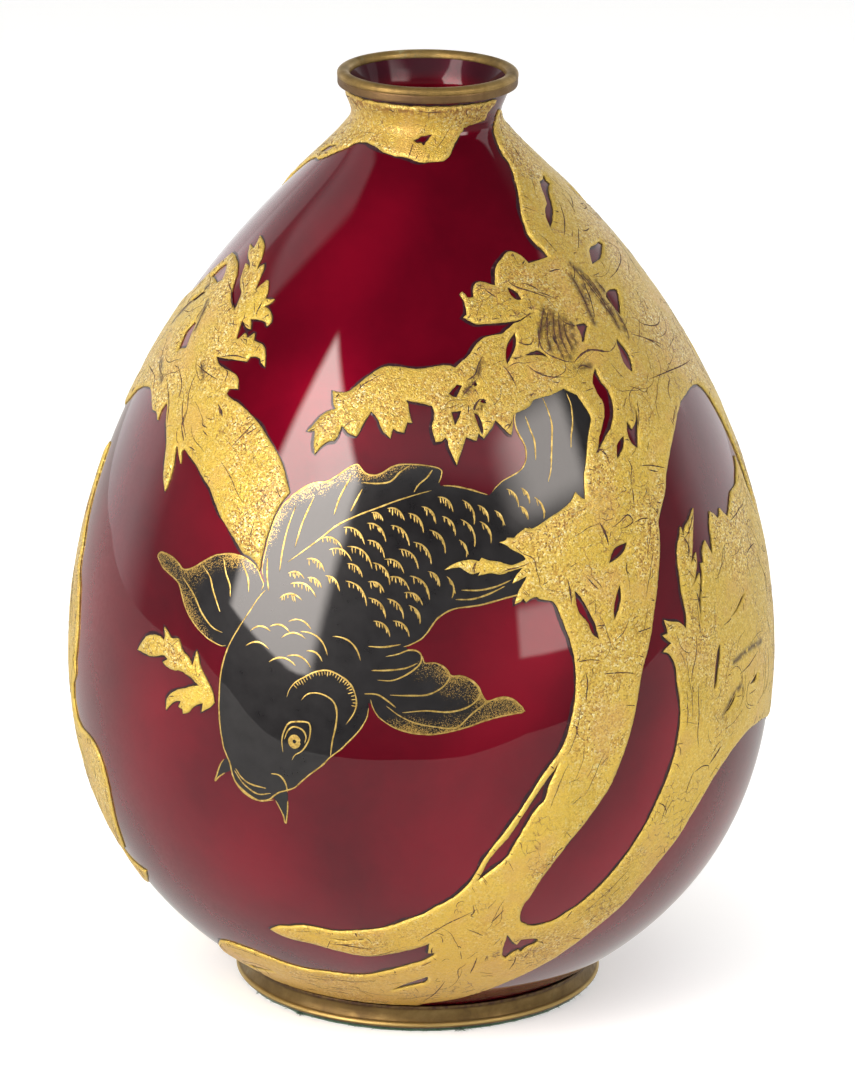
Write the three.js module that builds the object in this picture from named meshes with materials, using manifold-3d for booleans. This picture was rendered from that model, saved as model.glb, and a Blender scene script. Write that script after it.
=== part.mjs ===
// An enamelled copper vase with gold relief trees and a black koi.
// Millimetres, +Z up, origin in the middle of the foot's underside.
// The drawing on the wall is given as [angle, height] pairs: the angle is in degrees
// round the axis, 0 at the front (-Y) and 90 at the right (+X).
import * as THREE from 'three';
import { mergeVertices } from 'three/addons/utils/BufferGeometryUtils.js';
import Module from 'manifold-3d';

const wasm = await Module();
wasm.setup();

// ---- driving dimensions -------------------------------------------------------------
const FOOT_RADIUS = 59.0;          // widest bead of the brass foot ring
const FOOT_HEIGHT = 8.85;
const FELT_THICKNESS = 1.2;
const BASE = { radius: 55.5, height: 8, slope: 32 };   // where the wall leaves the foot
const BELLY = { radius: 112, height: 109 };
const SHOULDER = { radius: 65, height: 237, slope: 128 };
const WAIST = { radius: 23.3, height: 285 };
const LIP = { radius: 26.9, height: 293.8 };
const RIM_RADIUS = 28.4;
const RIM_OPENING = 24.2;
const VASE_HEIGHT = 298;

const ENAMEL = 0.9;                // thickness of the red enamel outside
const COPPER = 1.2;
const LINING = 0.5;                // thickness of the enamel inside and under the base
const BOND = 0.05;                 // clearance between fired layers
const FLOOR = 7.4;                 // underside of the copper floor
const KOI_LIFT = 0.1;              // painted enamel, just above the ground
const KOI_THICKNESS = 0.2;
const RELIEF_LIFT = 0.4;           // gold paste, clear of the painted enamel
const RELIEF_THICKNESS = 0.8;

const SEGMENTS = 28;               // facets round the axis
const FIRST_FACET = THREE.MathUtils.degToRad(1.23);
const WALL_STEPS = [5, 4, 5, 2];   // rings on each stretch of the wall

// ---- materials ----------------------------------------------------------------------
const paint = (color, roughness, metalness) =>
  new THREE.MeshStandardMaterial({ color, roughness, metalness });
const RUBY = paint(0x7d0a1c, 0.08, 0);
const COPPER_METAL = paint(0xb36a45, 0.4, 1);
const BRASS = paint(0x7d6a38, 0.38, 1);
const GOLD = paint(0xd9b34c, 0.35, 1);
const KOI_BLACK = paint(0x1d1b1e, 0.15, 0);
const GILT = paint(0xd2b463, 0.35, 1);
const FELT = paint(0x2f5a3a, 0.95, 0);

const group = new THREE.Group();

function addPart(name, geometry, material) {
  const mesh = new THREE.Mesh(geometry, material);
  mesh.name = name;
  group.add(mesh);
}

// ---- the wall: one smooth profile, and layers offset from it --------------------------
function along(point, angle, distance) {
  const radians = THREE.MathUtils.degToRad(angle);
  return new THREE.Vector2(
    point.radius + distance * Math.cos(radians),
    point.height + distance * Math.sin(radians),
  );
}

const corner = (point) => new THREE.Vector2(point.radius, point.height);
const WALL = [
  new THREE.CubicBezierCurve(
    corner(BASE), along(BASE, BASE.slope, 28.7), along(BELLY, 90, -59), corner(BELLY)),
  new THREE.CubicBezierCurve(
    corner(BELLY), along(BELLY, 90, 54.7), along(SHOULDER, SHOULDER.slope, -35.3), corner(SHOULDER)),
  new THREE.CubicBezierCurve(
    corner(SHOULDER), along(SHOULDER, SHOULDER.slope, 34.9), along(WAIST, 90, -5.8), corner(WAIST)),
  new THREE.CubicBezierCurve(corner(WAIST), along(WAIST, 90, 3.2), along(LIP, 85, -3.6), corner(LIP)),
];

// Points of the wall moved out by lift along its normal, from the foot to the lip.
function wallPoints(lift) {
  const points = [];
  WALL.forEach((curve, stretch) => {
    for (let step = stretch === 0 ? 0 : 1; step <= WALL_STEPS[stretch]; step += 1) {
      const at = step / WALL_STEPS[stretch];
      const tangent = curve.getTangent(at);
      const point = curve.getPoint(at);
      points.push(new THREE.Vector2(point.x + tangent.y * lift, point.y - tangent.x * lift));
    }
  });
  return points;
}

// Turns a closed [radius, height] outline round the Z axis.
function turned(points) {
  const geometry = new THREE.LatheGeometry(points, SEGMENTS, FIRST_FACET);
  geometry.rotateX(Math.PI / 2);
  return geometry;
}

function wallLayer(outerLift, innerLift) {
  const outer = wallPoints(outerLift);
  return [...outer, ...wallPoints(innerLift).reverse(), outer[0]];
}

// A wall layer with its own floor, open only at the mouth.
function vesselLayer(outerLift, innerLift, floor) {
  const outer = wallPoints(outerLift);
  const inner = wallPoints(innerLift).reverse();
  const floorTop = floor + outerLift - innerLift;
  const slope = Math.tan(THREE.MathUtils.degToRad(BASE.slope));
  const bend = (point, height) => new THREE.Vector2(point.x - (point.y - height) / slope, height);
  return [
    new THREE.Vector2(0, floor),
    bend(outer[0], floor),
    ...outer,
    ...inner,
    bend(inner[inner.length - 1], floorTop),
    new THREE.Vector2(0, floorTop),
  ];
}

const copperOuter = -ENAMEL - BOND;
const copperInner = copperOuter - COPPER;
const liningOuter = copperInner - BOND;
addPart('copper_body', turned(vesselLayer(copperOuter, copperInner, FLOOR)), COPPER_METAL);
addPart('ruby_enamel_ground', turned(wallLayer(0, -ENAMEL)), RUBY);
addPart(
  'interior_enamel',
  turned(vesselLayer(liningOuter, liningOuter - LINING, FLOOR + COPPER + BOND)),
  RUBY,
);

function profile(...pairs) {
  return pairs.map(([radius, height]) => new THREE.Vector2(radius, height));
}

const baseTop = FLOOR - BOND;
const baseRadius = 52.4;
addPart('base_enamel', turned(profile(
  [0, baseTop - LINING], [baseRadius, baseTop - LINING], [baseRadius, baseTop], [0, baseTop],
)), RUBY);

// ---- brass and felt -------------------------------------------------------------------
const ledge = LIP.height + 0.6;    // the rim's rebate, just above the lip
const skirt = LIP.radius + 0.4;
addPart('mouth_rim', turned(profile(
  [skirt, ledge], [skirt, 292], [RIM_RADIUS - 0.4, 291.9], [RIM_RADIUS - 0.1, 292.6],
  [RIM_RADIUS, 294.2], [RIM_RADIUS - 0.2, 296], [RIM_RADIUS - 0.7, 297.2], [26.9, 297.9],
  [26.2, VASE_HEIGHT], [25.2, 297.6], [24.5, 296.8], [RIM_OPENING, 295.8],
  [RIM_OPENING, ledge], [skirt, ledge],
)), BRASS);

const ringBottom = FELT_THICKNESS + 0.1;
const ringInside = 53.6;
addPart('foot_ring', turned(profile(
  [ringInside, ringBottom], [FOOT_RADIUS - 1.1, ringBottom], [FOOT_RADIUS - 0.2, 1.8],
  [FOOT_RADIUS, 2.5], [FOOT_RADIUS - 0.4, 3.2], [57.7, 3.9], [57.1, 5], [57, 6.4], [57.3, 7.8],
  [57.6, FOOT_HEIGHT], [ringInside, 6.3], [ringInside, ringBottom],
)), BRASS);
const feltRadius = 57.2;
addPart('felt_pad', turned(profile(
  [0, 0], [feltRadius, 0], [feltRadius, FELT_THICKNESS], [0, FELT_THICKNESS],
)), FELT);

// ---- skins: pieces that follow the wall inside an outline ------------------------------
function toManifold(geometry) {
  const bare = geometry.clone();
  bare.deleteAttribute('normal');
  bare.deleteAttribute('uv');
  const merged = mergeVertices(bare, 1e-4);
  return new wasm.Manifold(new wasm.Mesh({
    numProp: 3,
    vertProperties: merged.attributes.position.array,
    triVerts: new Uint32Array(merged.index.array),
  }));
}

function fromManifold(solid) {
  const mesh = solid.getMesh();
  const geometry = new THREE.BufferGeometry();
  geometry.setAttribute('position', new THREE.BufferAttribute(mesh.vertProperties, 3));
  geometry.setIndex(new THREE.BufferAttribute(mesh.triVerts, 1));
  geometry.computeVertexNormals();
  return geometry;
}

// The wall at a height: its radius and its outward normal.
const FINE_STEPS = 80;
const FINE_WALL = WALL.flatMap((curve) => curve.getPoints(FINE_STEPS).slice(0, FINE_STEPS));
function wallAt(height) {
  const next = Math.max(1, FINE_WALL.findIndex((point) => point.y >= height));
  const below = FINE_WALL[next - 1];
  const above = FINE_WALL[next];
  const share = THREE.MathUtils.clamp((height - below.y) / (above.y - below.y), 0, 1);
  const rise = above.clone().sub(below).normalize();
  return { radius: THREE.MathUtils.lerp(below.x, above.x, share), normal: new THREE.Vector2(rise.y, -rise.x) };
}

// An outline with its long edges split, so that they bend with the wall.
const LONGEST_EDGE = 6;            // degrees
function split(outline) {
  const shape = new THREE.Shape();
  outline.forEach(([angle, height], i) => {
    const [lastAngle, lastHeight] = outline.at(i - 1);
    const pieces = Math.ceil(Math.abs(angle - lastAngle) / LONGEST_EDGE) || 1;
    for (let piece = 1; piece <= pieces; piece += 1) {
      const x = THREE.MathUtils.lerp(lastAngle, angle, piece / pieces);
      const y = THREE.MathUtils.lerp(lastHeight, height, piece / pieces);
      if (i + piece === 1) shape.moveTo(x, y);
      else shape.lineTo(x, y);
    }
  });
  return shape;
}

// A plug through the wall: its sides follow the wall's normals near the wall,
// and run level from there to the middle of the vase and to far outside it.
const NEAR_WALL = 3;
const MIDDLE = 4;
const OUTSIDE = 400;
const TIDY = 0.03;                 // points this close to a straight edge are dropped
function plug(outline) {
  const geometry = new THREE.ExtrudeGeometry(split(outline), { depth: 3, steps: 3, bevelEnabled: false });
  const position = geometry.attributes.position;
  for (let i = 0; i < position.count; i += 1) {
    const angle = THREE.MathUtils.degToRad(position.getX(i));
    const { radius, normal } = wallAt(position.getY(i));
    const step = Math.round(position.getZ(i));
    const offset = step < 2 ? -NEAR_WALL : NEAR_WALL;
    const reach = [MIDDLE, radius + offset * normal.x, radius + offset * normal.x, OUTSIDE][step];
    const height = position.getY(i) + offset * normal.y;
    position.setXYZ(i, reach * Math.sin(angle), -reach * Math.cos(angle), height);
  }
  return toManifold(geometry);
}

// A layer of the wall inside the outlines, less the windows.
function skin(lift, thickness, outlines, windows = []) {
  const layer = toManifold(turned(wallLayer(lift + thickness, lift)));
  const space = wasm.Manifold.union(outlines.map(plug));
  const holes = windows.length ? wasm.Manifold.union(windows.map(plug)) : null;
  const solid = layer.intersect(holes ? space.subtract(holes) : space);
  return fromManifold(solid.asOriginal().simplify(TIDY));
}

const addRelief = (name, outlines, windows) =>
  addPart(name, skin(RELIEF_LIFT, RELIEF_THICKNESS, outlines, windows), GOLD);
const addKoi = (name, outline, windows) =>
  addPart(name, skin(KOI_LIFT, KOI_THICKNESS, [outline], windows), KOI_BLACK);

// ---- gold collar round the neck ---------------------------------------------------------
const collarTop = 291;
const collarFront = [
  [66, collarTop], [65, 290], [60, 289], [55, 288], [53, 286.6], [50, 285.8], [42, 285.4], [36, 285.2],
  [31, 284.8], [28, 283.9], [25, 282.8], [22, 281.5], [19, 280.3], [16, 278.3], [13, 277], [10, 276.2],
  [5, 276.2], [0, 276], [-4, 276], [-8, 276.4], [-12, 277], [-20, 277.2], [-25, 277.5], [-30, 278],
  [-35, 278.8], [-40, 279.3], [-45, 279.4], [-50, 279.2], [-50, collarTop],
];
const collarLeft = [
  [-49, collarTop], [-49, 279.3], [-55, 278.5], [-58, 277], [-62, 275.9], [-67, 274.6], [-71, 273.2],
  [-75, 271.8], [-79, 271], [-86, 270.6], [-94, 268.5], [-101, 265], [-106, 260], [-110, 256.5],
  [-113, 259], [-112, 264], [-114, 268.5], [-119, 270], [-123, 266], [-128, 263.5], [-130, 267],
  [-131, 272.5], [-137, 276.5], [-145, 278], [-145, collarTop],
];
const collarBack = [
  [-144, collarTop], [-144, 278.2], [-152, 277.4], [-160, 275], [-168, 273.5], [-176, 274.6],
  [-183, 277.6], [-190, 280.5], [-199, 281.5], [-207, 280.2], [-214, 280.9], [-221, 283.6],
  [-229, 285], [-237, 285.8], [-243, 288], [-246, collarTop],
];
const collarWindows = [
  [[-9.7, 281.7], [-7, 280.9], [-3.5, 281], [-2, 280.2], [-1, 281], [1, 281.9], [4.5, 283.6], [0, 283.3],
    [-5, 282.8]],
  [[-87, 272.4], [-82, 272.7], [-78, 273.4], [-74, 275.2], [-70, 276.3], [-77, 275.6], [-83, 274.5]],
];
addRelief('neck_collar_relief', [collarFront, collarLeft, collarBack], collarWindows);

// ---- the large tree on the right -----------------------------------------------------------
const crownCluster = [
  [44, 240], [45, 249], [43.3, 249.4], [42.8, 247.2], [39.2, 247.5], [36.4, 247.4], [35.2, 246.5],
  [34.2, 249.2], [32.8, 250.7], [30.8, 252], [28.8, 252.2], [26.4, 251.2], [24, 249.8], [22.4, 248.2],
  [21.6, 246], [21, 244.1], [19.8, 244.2], [18.4, 244.9], [16.4, 245.3], [14.8, 244.8], [14, 243.3],
  [13.8, 241.3], [12.1, 241.3], [11.4, 242.4], [10.6, 242.9], [9.9, 242.3], [10.8, 240.8], [11.3, 238.6],
  [11.2, 237], [10.2, 236.3], [11.2, 235.7], [12.4, 234.8], [14.4, 234.2], [20, 234.2], [25.4, 234.4],
  [27.5, 235.3], [30, 236.1], [34, 234],
];
const crown = [
  [34, 248.5], [34, 222], [40, 217.5], [47, 200], [51.2, 186], [52.9, 188.9], [55, 192.3], [57.7, 195.6],
  [59.8, 198.1], [62, 200.2], [65, 202.5], [70, 203.7], [74, 204.2], [78, 203], [80.5, 200.6],
  [82.3, 197], [83.6, 192.6], [84.8, 187], [85.8, 180], [86.4, 172], [86, 164], [85.2, 160], [88, 158],
  [96, 158], [99, 166], [98.2, 176], [101, 185], [104.5, 190], [103, 195.5], [107, 199], [112, 198.5],
  [109, 204], [104.5, 208], [110, 212], [117, 213], [121, 218.5], [114, 220.5], [108, 221.5],
  [113, 227], [121, 230], [126, 236], [118, 237.5], [110, 235.5], [104, 238], [110, 244], [116, 246.5],
  [111, 250.5], [103, 249], [99, 254], [103, 260], [98, 265], [94, 272], [92, 279], [88, 283], [84, 285],
  [78, 286.2], [73.5, 287], [70.2, 287.1], [68.1, 286.4], [66, 284.9], [63.5, 284.4], [60.6, 283.4],
  [58.1, 282], [55.6, 280.1], [53.9, 278.2], [52.7, 276.2], [53.4, 273.9], [51.8, 271.8], [49.8, 269.7],
  [47.3, 267], [45.2, 265], [42.8, 262.4], [40.8, 260.4], [40, 257.4], [39.6, 255.6], [40.6, 253.4],
  [42, 251.8], [43.3, 249.2],
];
const leafyBranch = [
  [40, 232], [30, 236], [25, 234], [23.5, 233.7], [21.2, 232.3], [20, 231.2], [16.4, 231.2], [14.4, 230.5],
  [12.8, 229.3], [11.4, 227.3], [10.2, 225.8], [8.4, 224.5], [7.1, 223.1], [6, 223.8], [4.4, 224],
  [2, 223.5], [-0.4, 222.9], [-2.8, 222.8], [-5.2, 223.3], [-7.6, 223.4], [-9.6, 223], [-11.2, 221.8],
  [-13.2, 219.8], [-14.8, 217.8], [-16, 216.3], [-17.2, 215.6], [-19, 215.4], [-20.2, 215.5], [-19.8, 214],
  [-19.5, 212], [-18.8, 210.8], [-20.4, 210], [-21.6, 208.8], [-22.6, 206.5], [-23.9, 204], [-22.4, 204.3],
  [-22.1, 202.5], [-22, 200.5], [-21.4, 198.1], [-20.8, 199.5], [-20, 201], [-19, 202], [-18, 202.1],
  [-17.4, 203.5], [-16.8, 206.5], [-15.2, 204.5], [-13.6, 203.9], [-13, 204.8], [-12.6, 207],
  [-11.8, 209], [-11.1, 211], [-10, 209.8], [-9.2, 208.5], [-8.4, 206], [-6.6, 204], [-6.2, 206.8],
  [-5.2, 206], [-3.9, 205.6], [-3.7, 207], [-3.4, 208.5], [-2.4, 208.3], [-3, 211], [-3.4, 213.3],
  [-3.9, 214.5], [-1.2, 214], [0.6, 213.4], [1.8, 213], [2.2, 211.5], [2.1, 209.5], [1.6, 208],
  [2, 205.5], [2.5, 203.3], [3.6, 203.5], [4.4, 204.5], [4.9, 203.8], [5, 201.8], [5.8, 199.5],
  [6.5, 197], [7, 199], [7.6, 201], [8.2, 203], [8.6, 204.5], [10.6, 203.5], [11.2, 205.5],
  [12.2, 203.8], [13.4, 205.8], [14.4, 207.5], [15, 208.8], [16, 207], [17.8, 204.5], [18.5, 206.3],
  [18.9, 209.6], [20, 210.3], [22, 211], [23.2, 211.8], [23.9, 213.2], [25.2, 213.5], [27.6, 213.8],
  [30, 214.5], [32, 215.2], [33.6, 213.8], [34.8, 213], [40, 212],
];
const trunk = [
  [34, 224], [34, 214], [34.7, 213.2], [35.6, 210.6], [36.5, 207.6], [36.6, 205.9], [35.6, 203.5],
  [34.4, 200.6], [33.6, 197.6], [32.8, 194.7], [31.6, 191.2], [31.2, 187.6], [30.9, 184.3], [29.8, 185.2],
  [29.1, 186.8], [28, 184.5], [26, 182.6], [22.8, 180.4], [20.9, 178.8], [19.3, 177.9], [18.4, 178.5],
  [16.9, 177.1], [16.2, 176], [15, 176.1], [14.6, 175.3], [13.5, 174.9], [14.9, 173.8], [15.6, 172.5],
  [17.3, 171.2], [18, 169.6], [16.6, 168.6], [15.2, 168], [13.6, 169.2], [12.2, 169.8], [11.2, 170],
  [10.2, 170.9], [9.8, 169.9], [8.4, 170.4], [6.8, 170.1], [5.4, 169.4], [3.8, 167.7], [5.6, 168.2],
  [6.6, 168.3], [7.4, 167], [8.6, 166.1], [9.9, 166.8], [9.5, 165.7], [11.6, 166.5], [13.2, 165.7],
  [15, 166.5], [17.4, 167.2], [16, 165.3], [15.3, 163], [16.4, 163.6], [18, 164.6], [16.8, 161.9],
  [16, 159.8], [15.5, 156.9], [16.4, 157.5], [17, 158.5], [17.4, 157.3], [18.4, 158.2], [19.4, 158.5],
  [19.9, 157.4], [21.9, 157.1], [22.6, 155.7], [23.2, 152.3], [24, 148.2], [24.8, 143.2], [25.2, 138.2],
  [25.3, 133.2], [25.1, 128.6], [24.8, 124], [24.2, 119.8], [23.6, 115.7], [22.8, 111.7], [21.3, 107.8],
  [19.7, 104], [18.2, 99.4], [16.6, 94], [14.9, 89], [13.5, 84.8], [12, 80.9], [10.6, 76.3], [9.7, 72.5],
  [8.7, 68.6], [7.5, 65.5], [6.1, 62.8], [4.7, 60.9], [2.8, 59], [2, 40], [19, 40], [19.4, 50],
  [18.5, 52.1], [18.1, 55.5], [18.5, 58.6], [19.4, 60.9], [20.1, 64.8], [21.3, 69.4], [23.2, 74.8],
  [24.9, 79.8], [27, 84.8], [29.3, 90.5], [31.3, 96], [33.1, 103.5], [34.6, 111], [35.7, 117.7],
  [36.6, 124.3], [37.4, 131], [38.7, 136], [40, 141.8], [41.1, 147.7], [42.2, 152.7], [42.9, 156.8],
  [44, 161.8], [44.9, 166.4], [45.5, 170.6], [45.9, 173.9], [47, 176.4], [48.5, 179.3], [49.8, 181.8],
  [51.2, 185.9], [54, 200], [46, 224],
];
const rootBottom = 9.8;
const frontRoots = [
  [3.4, 59.8], [2.8, 59], [0.9, 56.3], [-1.5, 54.4], [-3.9, 52.1], [-5.8, 50.5], [-8.2, 49.5],
  [-11, 48.6], [-13.9, 47.7], [-15.8, 47.3], [-18.2, 47.8], [-20.6, 48.2], [-22.7, 47.7], [-24.4, 46.7],
  [-26.8, 46.2], [-29, 43.8], [-27.2, 42], [-24.9, 41.3], [-22, 40.9], [-19.6, 40.3], [-17.2, 39.4],
  [-15.3, 38.8], [-13, 37.8], [-10.1, 37.5], [-7.7, 38.2], [-5.3, 39.4], [-2.5, 40.9], [0.4, 42.8],
  [2.8, 44.8], [4.4, 45.9], [4, 42.1], [3, 38.6], [1.3, 36.3], [-1.5, 34.4], [-4.4, 32.1], [-7.2, 30.2],
  [-10.6, 28.2], [-14.4, 27.1], [-20.1, 27.2], [-26.3, 26.7], [-30, 27.3], [-33.9, 28.8], [-38.1, 30.2],
  [-42.3, 30.7], [-46, 30.5], [-49.3, 29], [-51.4, 27.1], [-54.3, 24.4], [-57.3, 21.7], [-60.6, 18.6],
  [-65.2, 16.7], [-70.2, 15.9], [-74.3, 15.4], [-77.3, 14], [-80.2, 11.7], [-83, rootBottom],
  [-60, rootBottom], [-30, rootBottom], [0, rootBottom], [2.5, 11.4], [5, 12.2], [9, 13.4], [12, 14.8],
  [15, 16.7], [18, 19], [21, 21.8], [20, 50], [10, 60],
];
const clump = [
  [19.4, 50], [21.1, 49], [23.2, 49.2], [25.6, 50], [27.5, 52.5], [29.9, 55.2], [32.7, 60.2],
  [35, 65.4], [36.8, 70.4], [38.4, 75.4], [40, 80.8], [41.4, 86.9], [42.7, 91.9], [43.9, 97.7],
  [44.8, 103.1], [45.5, 110], [45.7, 117.7], [45, 124.3], [45, 128.5], [44.6, 131.8], [43.5, 134.8],
  [42.3, 135.3], [42.9, 136.2], [44.4, 137.5], [43.3, 138.9], [42.5, 140.6], [43.7, 140.7], [43.6, 142.7],
  [43.3, 145], [44.6, 143.9], [46.3, 143.5], [47.4, 141.8], [48.1, 140.2], [48.6, 143.9], [48.3, 148.5],
  [48.1, 152.7], [48.4, 157.7], [48.6, 161.8], [49.2, 165.2], [50.5, 167.7], [51.2, 170.2], [51.5, 167.7],
  [52.4, 169.8], [54.2, 171.4], [56.1, 173.9], [55.3, 171.4], [54, 166.8], [52.7, 161.8], [51.6, 158.3],
  [53.7, 161.4], [53.4, 158.1], [52.2, 154.3], [50.9, 152], [52.4, 153.9], [53.5, 155.2], [53.4, 152.7],
  [52.4, 148.5], [52, 144.3], [51.9, 139.8], [52.3, 144.3], [52.9, 148.5], [53.7, 151.8], [54.4, 155.2],
  [54.4, 157.8], [55.3, 157.7], [55.5, 160.6], [56.1, 162.3], [57.1, 163.7], [57.7, 161], [58.4, 158.9],
  [59.2, 162.7], [59.6, 166.8], [60.3, 168.9], [61, 170.8], [62, 169.8], [63.1, 167.7], [64.2, 168.4],
  [64.8, 170.2], [65.5, 168.5], [67, 166.4], [68.7, 168.5], [70.3, 170.6], [72, 172.4], [75.5, 172.2],
  [77.2, 173.5], [79.8, 175.6], [82.2, 178.5], [82.6, 173], [83.4, 167], [85, 160], [92, 160],
  [98, 160], [103, 163], [105.5, 157], [110, 152], [107, 147], [112, 141], [117, 138], [112, 133],
  [108, 128], [114, 122], [119, 117], [112, 113], [106, 109], [109, 103], [106, 97], [100, 93],
  [94, 89.6], [90, 88.2], [86, 90.2], [82, 92.6], [78, 95], [75, 96.5], [72, 97.3], [68, 97.8],
  [65, 97.3], [62, 95.8], [59.5, 93.5], [57, 90.5], [55, 87.5], [53.5, 84], [52, 80.5], [50.5, 77],
  [49.5, 73.5], [48, 70], [46.3, 66.5], [44.8, 63], [43.5, 59.5], [42, 56], [41, 52.5], [39.5, 49],
  [37.5, 45.5], [35.5, 42], [34, 39], [32, 35.5], [30, 32], [28, 29.5], [25, 26], [20.9, 21.7], [15, 24],
];
const twigWindow = [
  [22.4, 107.6], [21, 104], [19.4, 100], [17.8, 95], [16.4, 90.5], [15.3, 86.6], [14.1, 83], [12.7, 80],
  [11.3, 76], [9.8, 68.7], [11.5, 71.5], [13.5, 74.5], [14.7, 77.5], [15.5, 81], [17, 86.5], [18, 90.5],
  [19, 93.3], [20.2, 95], [20.5, 99.5], [21.5, 103.8],
];
const trunkWindows = [
  [[26.1, 159], [27.2, 157], [28.4, 152.5], [29.3, 148.5], [29.9, 143.5], [28.6, 145.5], [27.8, 149.5],
    [26.4, 152.5], [26.1, 156]],
  [[34.9, 158.6], [35, 154.8], [34.2, 151.5], [33, 148.2], [33, 151.8], [33.9, 155.9]],
  [[37.8, 170.2], [37.2, 168.2], [35.6, 166.2], [33.3, 165.2], [34, 167.3], [35, 169.6]],
];
const rootWindows = [
  [[2.3, 28.6], [2.4, 26.7], [1.6, 24.8], [-0.6, 23.6], [-2.5, 22.5], [-6.3, 20.2], [-4.6, 22.5],
    [-2.5, 24.8], [-0.1, 26.7]],
  [[16.7, 46.7], [17.5, 44.8], [18.5, 42.8], [19.3, 41.8], [19.8, 43.8], [23, 43.6], [23.7, 42.5],
    [23.2, 40.9], [21.8, 40], [20.9, 38.2], [20.1, 39], [19, 37.8], [18, 35.7], [17, 37.1], [16.6, 40.2]],
  [[-9.8, 45.5], [-12.5, 44.1], [-14.2, 43.5], [-16.9, 44.2], [-13, 44.4]],
  [[-38, 20.5], [-42, 20.2], [-46, 19.2], [-50, 17.6], [-55, 15.2], [-52, 14.9], [-48, 16.6],
    [-43, 18.3]],
];
const crownWindows = [
  [[24.6, 243.3], [25.6, 242.9], [27.4, 241.5], [28, 239.7], [26.8, 239.5], [25.2, 240.3], [24.7, 241.8]],
  [[51.3, 256], [52.3, 258.5], [54.8, 260.5], [58.5, 261.6], [62.7, 265.5], [65.2, 267], [70.2, 267],
    [72.7, 267.9], [74.1, 267.4], [72.3, 266.4], [73.3, 265.2], [70.2, 264.9], [66, 263.7], [62.7, 261.6],
    [59.3, 259.3], [56, 257.8], [53.1, 256.5]],
  [[60, 244.2], [61, 245.5], [63.1, 247.4], [65.6, 248.2], [68.5, 247.8], [73.1, 248], [74.8, 247],
    [70.2, 245.5], [66.8, 244.5]],
  [[57, 235.5], [58.5, 236.6], [61, 237], [64.1, 236], [63.1, 234.3], [61, 232], [58.7, 229.8],
    [58.1, 231.6]],
  [[52, 223.9], [52.9, 224.8], [53.8, 222], [54.5, 219.3], [53.5, 216.2], [52.5, 215.1], [51.6, 216.6],
    [51.1, 218.5], [51.6, 221.2]],
  [[41.4, 230.9], [44.4, 230.9], [45.2, 230], [43.2, 227.9], [41.8, 226.2], [41.1, 226.3],
    [41.8, 227.9]],
  [[42, 218.8], [42.2, 215.3], [43.6, 211.8], [43.4, 208.2], [42.4, 205.3], [40.8, 202.4], [38.4, 200],
    [35.8, 196.4], [36.8, 200], [38.4, 202.9], [40, 205.9], [41, 209.4], [40, 211.8], [39.8, 215.6],
    [40.8, 217.4]],
  [[43.4, 199.4], [42.8, 197.1], [41.6, 195.3], [39.9, 193.6], [40.6, 197.1], [42, 198.8]],
  [[49, 206.8], [48.8, 202.9], [48, 201.2], [47, 198.5], [45.9, 195], [44.6, 196.8], [44.2, 200],
    [45.4, 203.2], [46, 200.6], [47.2, 201.5], [48.4, 203.5]],
  [[23.4, 231.5], [23.2, 229.4], [22.6, 227.6], [20.8, 225], [19.6, 223.2], [19.4, 224.7], [20, 227.6],
    [21.2, 229.4], [22.4, 230.6]],
  [[24.2, 225.3], [26, 225.9], [28, 226.1], [29.2, 225.4], [30.4, 224], [28, 224.8], [25.6, 225]],
  [[5.3, 216.3], [6.3, 217.5], [7.3, 218.7], [8.5, 218.4], [7.7, 216.8], [7, 215.2], [6.2, 215.4]],
  [[10.7, 219], [11.7, 219.3], [12, 218.5], [11.3, 217.8]],
  [[5.8, 211.5], [8, 211.6], [7.2, 209.5], [6.4, 207.6]],
  [[12, 214], [13, 214.6], [13.6, 213.3], [12.6, 213.3]],
  [[10.6, 210.8], [11.6, 210.3], [12.2, 208.2], [12.3, 206], [11.9, 204.9], [11.4, 206.5], [10.9, 208.8]],
  [[92, 262], [96, 260], [97, 254], [94, 256]],
  [[100, 232], [104, 230], [102, 225], [99, 227]],
  [[93, 214], [97, 210], [95, 203], [92, 207]],
];
const clumpWindows = [
  [[61, 138], [63, 139.3], [65.5, 141.8], [67.2, 142.3], [66, 141], [64, 139.2], [62, 138.2]],
  [[56.7, 132], [55.7, 130.5], [54.8, 126], [54.2, 121], [54.1, 117.5], [54.8, 119], [55.5, 123.5],
    [56.4, 128]],
  [[66.5, 113.2], [68, 114], [70, 115.3], [70, 113.5], [68.7, 112.3]],
  [[57, 108.6], [59, 110.7], [61, 113.8], [60.8, 111.5], [59, 109.3]],
  [[96, 140], [99, 146], [101, 143], [98, 136]],
  [[92, 118], [96, 122], [99, 120], [96, 115]],
];
addRelief(
  'right_tree_relief',
  [crownCluster, crown, leafyBranch, trunk, frontRoots, clump],
  [twigWindow, ...trunkWindows, ...rootWindows, ...crownWindows, ...clumpWindows],
);

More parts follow.
